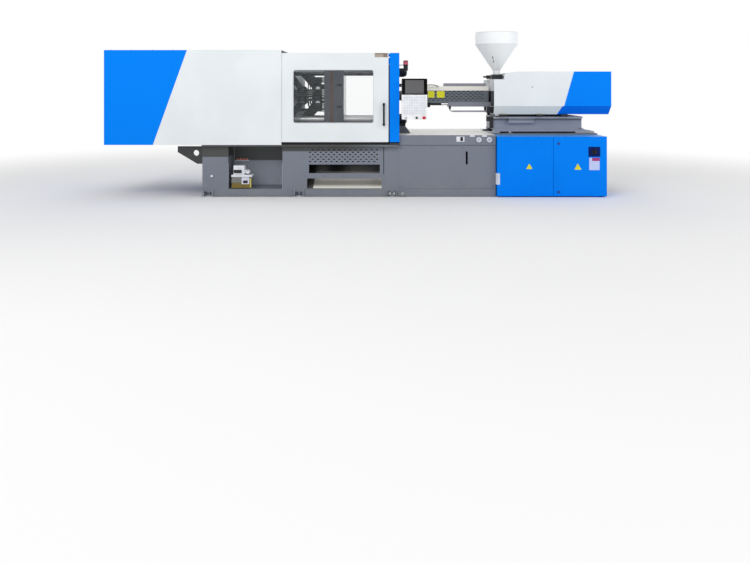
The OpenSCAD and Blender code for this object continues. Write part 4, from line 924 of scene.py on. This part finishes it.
# The barrel guard is perforated dark sheet below a bright folded top, whose pale colour is partly a painted
# reflection, with a grey cable duct on top and one along its foot. Two plain yellow plates are riveted to its free
# end.
guard_dark, tree, shader = new_material("guard_dark")
folded_top, upper_duct = beyond("Z", axis_z + 0.0665), beyond("Z", axis_z + 0.1225)
before_face = beyond("Y", axis_y - 0.1502, -1)
tone = add_zones(tree, srgb(98, 105, 113), [(folded_top, srgb(226, 224, 216)), (upper_duct, srgb(136, 136, 146)),
                                            (before_face, srgb(128, 130, 142))])
gloss = spread(tree, grain(tree, 20.0, 3.0, (1, 10, 10)), 0.3, 0.7, 0.34, 0.46)
set_inputs(shader, {"Base Color": tone, "Metallic": 0.25, "Roughness": gloss})
add_bump(tree, shader, grain(tree, 300.0, 2.0), 0.00005)
coat(guard_dark, "barrel_guard")
guard_front = axis_y - 0.150
plates = [((x0, guard_front - 0.0015, 1.188), (x1, guard_front + 0.0005, 1.272))
          for x0, x1 in ((0.838, 0.922), (0.952, 1.052))]
block_piece("guard_plates", plates, 0.0005, foil_yellow, "carriage")
points = [(x, guard_front - 0.0015, z) for x in (0.846, 0.914, 0.960, 1.044) for z in (1.196, 1.264)]
screws("plate_rivets", points, to_front, 0.003, 0.002, "carriage")

# A black bracket under the guard's free end holds a thin rod that leads to the lower duct, and a
# low bow of grey rod is welded on the guard's top at the same end.
bracket_foot, bracket_y = axis_z - 0.098, guard_front - 0.002
bm = bmesh.new()
add_block(bm, (0.832, guard_front - 0.004, 1.066), (0.868, guard_front + 0.004, bracket_foot + 0.012), 0.003)
add_turned(bm, [(0, 0), (0.016, 0), (0.018, 0.004), (0.018, 0.012), (0, 0.014)],
           (0.850, guard_front - 0.003, 1.082), to_front, 24)
add_block(bm, (0.792, bracket_y, 1.090), (1.012, guard_front + 0.006, bracket_foot + 0.004), 0.002)
add_rod(bm, [(1.010, bracket_y, 1.096), (1.06, bracket_y, 1.098), (1.11, bracket_y, 1.102)], 0.005)
finish_piece("guard_bracket", bm, moulded("bracket_black", srgb(24, 24, 28), 0.45), "carriage")
bow = [(0.796, 1.334), (0.815, 1.343), (0.845, 1.350), (0.885, 1.352), (0.925, 1.349), (0.955, 1.342),
       (0.980, 1.333)]
rod_piece("guard_bow", [(x, guard_front + 0.030, z) for x, z in bow], 0.0065,
          moulded("bow_grey", srgb(128, 124, 120), 0.5), "carriage")

# The cooling pipe is bright steel tube that ends in a dark block. It has a grey sleeve pushed over
# its long run, and a dark collar where it leaves the duct.
pipe_low, pipe_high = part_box("cooling_pipe")
pipe_block = pipe_high.x - 0.0932
pipe_y, pipe_z = axis_y - 0.160, axis_z - 0.198
coat(sprayed("pipe_paint", srgb(176, 178, 186), 0.35, zones=[(beyond("X", pipe_block), srgb(44, 45, 50))]),
     "cooling_pipe")
rod_piece("pipe_jacket", [(pipe_low.x + 0.040, pipe_y, pipe_z), (pipe_block - 0.002, pipe_y, pipe_z)], 0.0105,
          moulded("jacket_grey", srgb(158, 159, 168), 0.5), "carriage", 20)
bm = bmesh.new()
add_turned(bm, [(0.0068, -0.018), (0.014, -0.016), (0.016, 0.012), (0.013, 0.028), (0.0068, 0.029)],
           (pipe_low.x + 0.007, pipe_y, pipe_z + 0.045), upwards, 24)
finish_piece("pipe_collar", bm, moulded("collar_black", srgb(40, 41, 48), 0.45), "carriage")

# The injection housing is folded sheet, white with a blue end. The slant between the colours goes
# on over the bevelled foot with a flatter slope, and the foot folds in 40 mm over its 103 mm.
bevel_z = 1.0883
fold = 0.388


def housing_blue(tree):
    """A test for the blue end, right of the slant on the sides and of the flatter one on the foot."""
    upper = past_slant((2.629, 1.517), 0.285, -1)(tree)
    lower = past_slant((2.487, 1.089), 0.579, -1)(tree)
    side = beyond("Z", bevel_z)(tree)
    foot = calculate(tree, "SUBTRACT", 1, side)
    return calculate(tree, "ADD", calculate(tree, "MULTIPLY", side, upper),
                     calculate(tree, "MULTIPLY", foot, lower))


def inner_face(tree):
    """A test for the inner faces of the housing's sides and foot."""
    drop = calculate(tree, "MAXIMUM", calculate(tree, "SUBTRACT", bevel_z, coordinate(tree, "Z")), 0)
    unfolded = calculate(tree, "ADD", off_middle(tree, "Y", axis_y), calculate(tree, "MULTIPLY", drop, fold))
    return calculate(tree, "LESS_THAN", unfolded, housing_high.y - axis_y - 0.0015)


# The foot's bevel faces down and is painted darker, in white and in blue, as painted shade; the inner faces low in
# the sides and foot are painted dark grey, as painted shade.
shaded_bevel = beyond("Z", bevel_z - 0.0005, -1)
shaded_inner_faces = all_of(inner_face, beyond("Z", 1.139, -1), within("X", housing_low.x + 0.002, 2.47))
coat(sprayed("housing_paint", panel_white, 0.35, gloss=0.05,
             zones=[(shaded_bevel, srgb(212, 217, 216)), (housing_blue, signal_blue),
                    (all_of(housing_blue, shaded_bevel), srgb(0, 104, 222)), (shaded_inner_faces, srgb(60, 62, 68))]),
     "injection_housing")
for name, y, way in (("housing_screw_front", housing_low.y, -1), ("housing_screw_back", housing_high.y, 1)):
    screws(name, [(2.113, y, 1.322)], (0, way, 0), 0.008, 0.004, "carriage")

# The hopper is spun from bright stainless sheet with a rolled bead at its top and at its shoulder.
# It stands on a black slide base, and the slide's black grip carries a bent wire lever.
lid_low, lid_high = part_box("hopper_lid")
hopper_x = (lid_low.x + lid_high.x) / 2
slide_top = 1.487
grip_start = hopper_x + 0.0665
# The stainless is given a near-white colour without metal, as painted light, so that its downward-facing cone
# reads bright.
stainless, tree, shader = new_material("hopper_stainless")
brushed = grain(tree, 10.0, 4.0, (1, 1, 14))
tone = blend_colours(tree, spread(tree, brushed, 0.3, 0.7), srgb(247, 250, 252), srgb(251, 253, 254))
slide_base = all_of(beyond("Z", slide_top + 0.0005, -1), beyond("X", grip_start, -1))
set_inputs(shader, {"Base Color": add_zones(tree, tone, [(slide_base, srgb(40, 42, 47))]),
                    "Roughness": spread(tree, brushed, 0.3, 0.7, 0.36, 0.42)})
add_bump(tree, shader, brushed, 0.000004)
coat(stainless, "hopper")
lid_steel = polished("lid_stainless", srgb(246, 249, 251), 0.4, (1, 50, 20), 10.0, 0.0, 0.000004)
coat(lid_steel, "hopper_lid")
coat(sprayed("gate_black", srgb(30, 31, 35), 0.4, zones=[(beyond("X", grip_start), srgb(206, 208, 212))]),
     "hopper_gate")

# Two short sight slots, filled with dark clear plastic, lie one over the other in the front of
# the hopper's cone. Each is an oval plate that leans with the cone.
cone_foot, cone_top = (0.046, 1.538), (0.272, 1.877)
taper = (cone_top[0] - cone_foot[0]) / (cone_top[1] - cone_foot[1])
bm = bmesh.new()
for z, shift in ((1.703, -0.068), (1.657, -0.054)):
    reach = cone_foot[0] + (z - cone_foot[1]) * taper
    sideways = shift / reach
    front = -math.sqrt(1 - sideways ** 2)
    middle = Vector((hopper_x + shift, axis_y + front * reach, z))
    slope = Vector((sideways * taper, front * taper, 1)).normalized()
    tangent = Vector((-front, sideways, 0))
    outwards = Vector((sideways, front, -taper)).normalized()
    oval = [middle + slope * (0.024 * up) + tangent * (0.006 * across) for across, up in arc(1, whole_turn(16))]
    add_skin(bm, [[bm.verts.new(p + outwards * lift) for p in oval] for lift in (-0.002, 0.0015)], ends=True)
finish_piece("sight_slots", bm, moulded("slot_dark", srgb(92, 102, 104), 0.2), "carriage", 50)

bm = bmesh.new()
for z, thick in ((cone_top[1], 0.004), (2.0265, 0.0032)):
    profile = arc(thick, range(-90, 91, 30), (cone_top[0], z))
    profile += [(cone_top[0] - 0.001, profile[-1][1]), (cone_top[0] - 0.001, profile[0][1]), profile[0]]
    add_turned(bm, profile, (hopper_x, axis_y, 0), upwards, 72)
finish_piece("hopper_beads", bm, lid_steel, "carriage")

lever = [(-0.112, 1.433), (-0.110, 1.400), (-0.106, 1.384), (-0.098, 1.379), (-0.091, 1.385), (-0.086, 1.402),
         (-0.082, 1.433)]
bm = bmesh.new()
add_rod(bm, [(hopper_x + shift, axis_y, z) for shift, z in lever], 0.0045)
finish_piece("gate_lever", bm, zinc, "hopper_gate")

# Studio: a wide pale floor that fades into the white surroundings, a soft sky and three large
# lamps, and the camera level with the machine's middle, at the photograph's distance.
floor_mesh = bpy.data.meshes.new("floor")
reach = 40.0
floor_mesh.from_pydata([(-reach, -reach, 0), (reach, -reach, 0), (reach, reach, 0), (-reach, reach, 0)], [],
                       [(0, 1, 2, 3)])
floor = in_scene("floor", floor_mesh)


def show_mix(tree, output, factor, first, second):
    """Shows two shaders, mixed by a factor, on a material's or world's output."""
    mix = add_node(tree, "ShaderNodeMixShader", {"Fac": factor, 1: first.outputs[0], 2: second.outputs[0]})
    add_node(tree, output, {"Surface": mix.outputs[0]})


floor_pale = bpy.data.materials.new("floor_pale")
tree = empty_tree(floor_pale)
near = add_node(tree, "ShaderNodeBsdfDiffuse", {"Color": (0.90, 0.90, 0.90, 1)})
place = add_node(tree, "ShaderNodeTexCoord").outputs["Object"]
distance = add_node(tree, "ShaderNodeVectorMath", {0: place}, operation="LENGTH").outputs["Value"]
show_mix(tree, "ShaderNodeOutputMaterial", spread(tree, distance, 4.5, 9.0), near,
         add_node(tree, "ShaderNodeEmission"))
floor_mesh.materials.append(floor_pale)

sky = bpy.data.worlds.new("soft_sky")
tree = empty_tree(sky)
lit, seen = (add_node(tree, "ShaderNodeBackground", {"Color": (1, 1, 1, 1), "Strength": strength})
             for strength in (0.62, 1.0))
ray = add_node(tree, "ShaderNodeLightPath").outputs
seen_ray = calculate(tree, "MAXIMUM", calculate(tree, "MAXIMUM", ray["Is Camera Ray"], ray["Is Glossy Ray"]),
                     ray["Is Transmission Ray"])
show_mix(tree, "ShaderNodeOutputWorld", seen_ray, lit, seen)
bpy.context.scene.world = sky

for name, place, size, power in (("key_lamp", (-3.5, -8.5, 7.0), 6.0, 330),
                                 ("fill_lamp", (7.5, -5.0, 4.5), 5.0, 120),
                                 ("back_lamp", (0.0, 8.5, 6.0), 6.0, 210)):
    lamp = bpy.data.lights.new(name, "AREA")
    lamp.size, lamp.energy = size, power
    in_scene(name, lamp).matrix_world = facing(place, Vector(place) - Vector((0, 0, 1)))

distance_to_front, eye_height = 9.0, 1.312
lens_data = bpy.data.cameras.new("camera")
lens_data.lens, lens_data.sensor_width = 36, 36
lens_data.shift_y = -0.258
camera = in_scene("camera", lens_data)
camera.location = (0.1615, cad_low.y + 0.108 - distance_to_front, eye_height)
camera.rotation_euler = (math.radians(90), 0, 0)
bpy.context.scene.camera = camera
bpy.context.scene.view_settings.view_transform = "Standard"
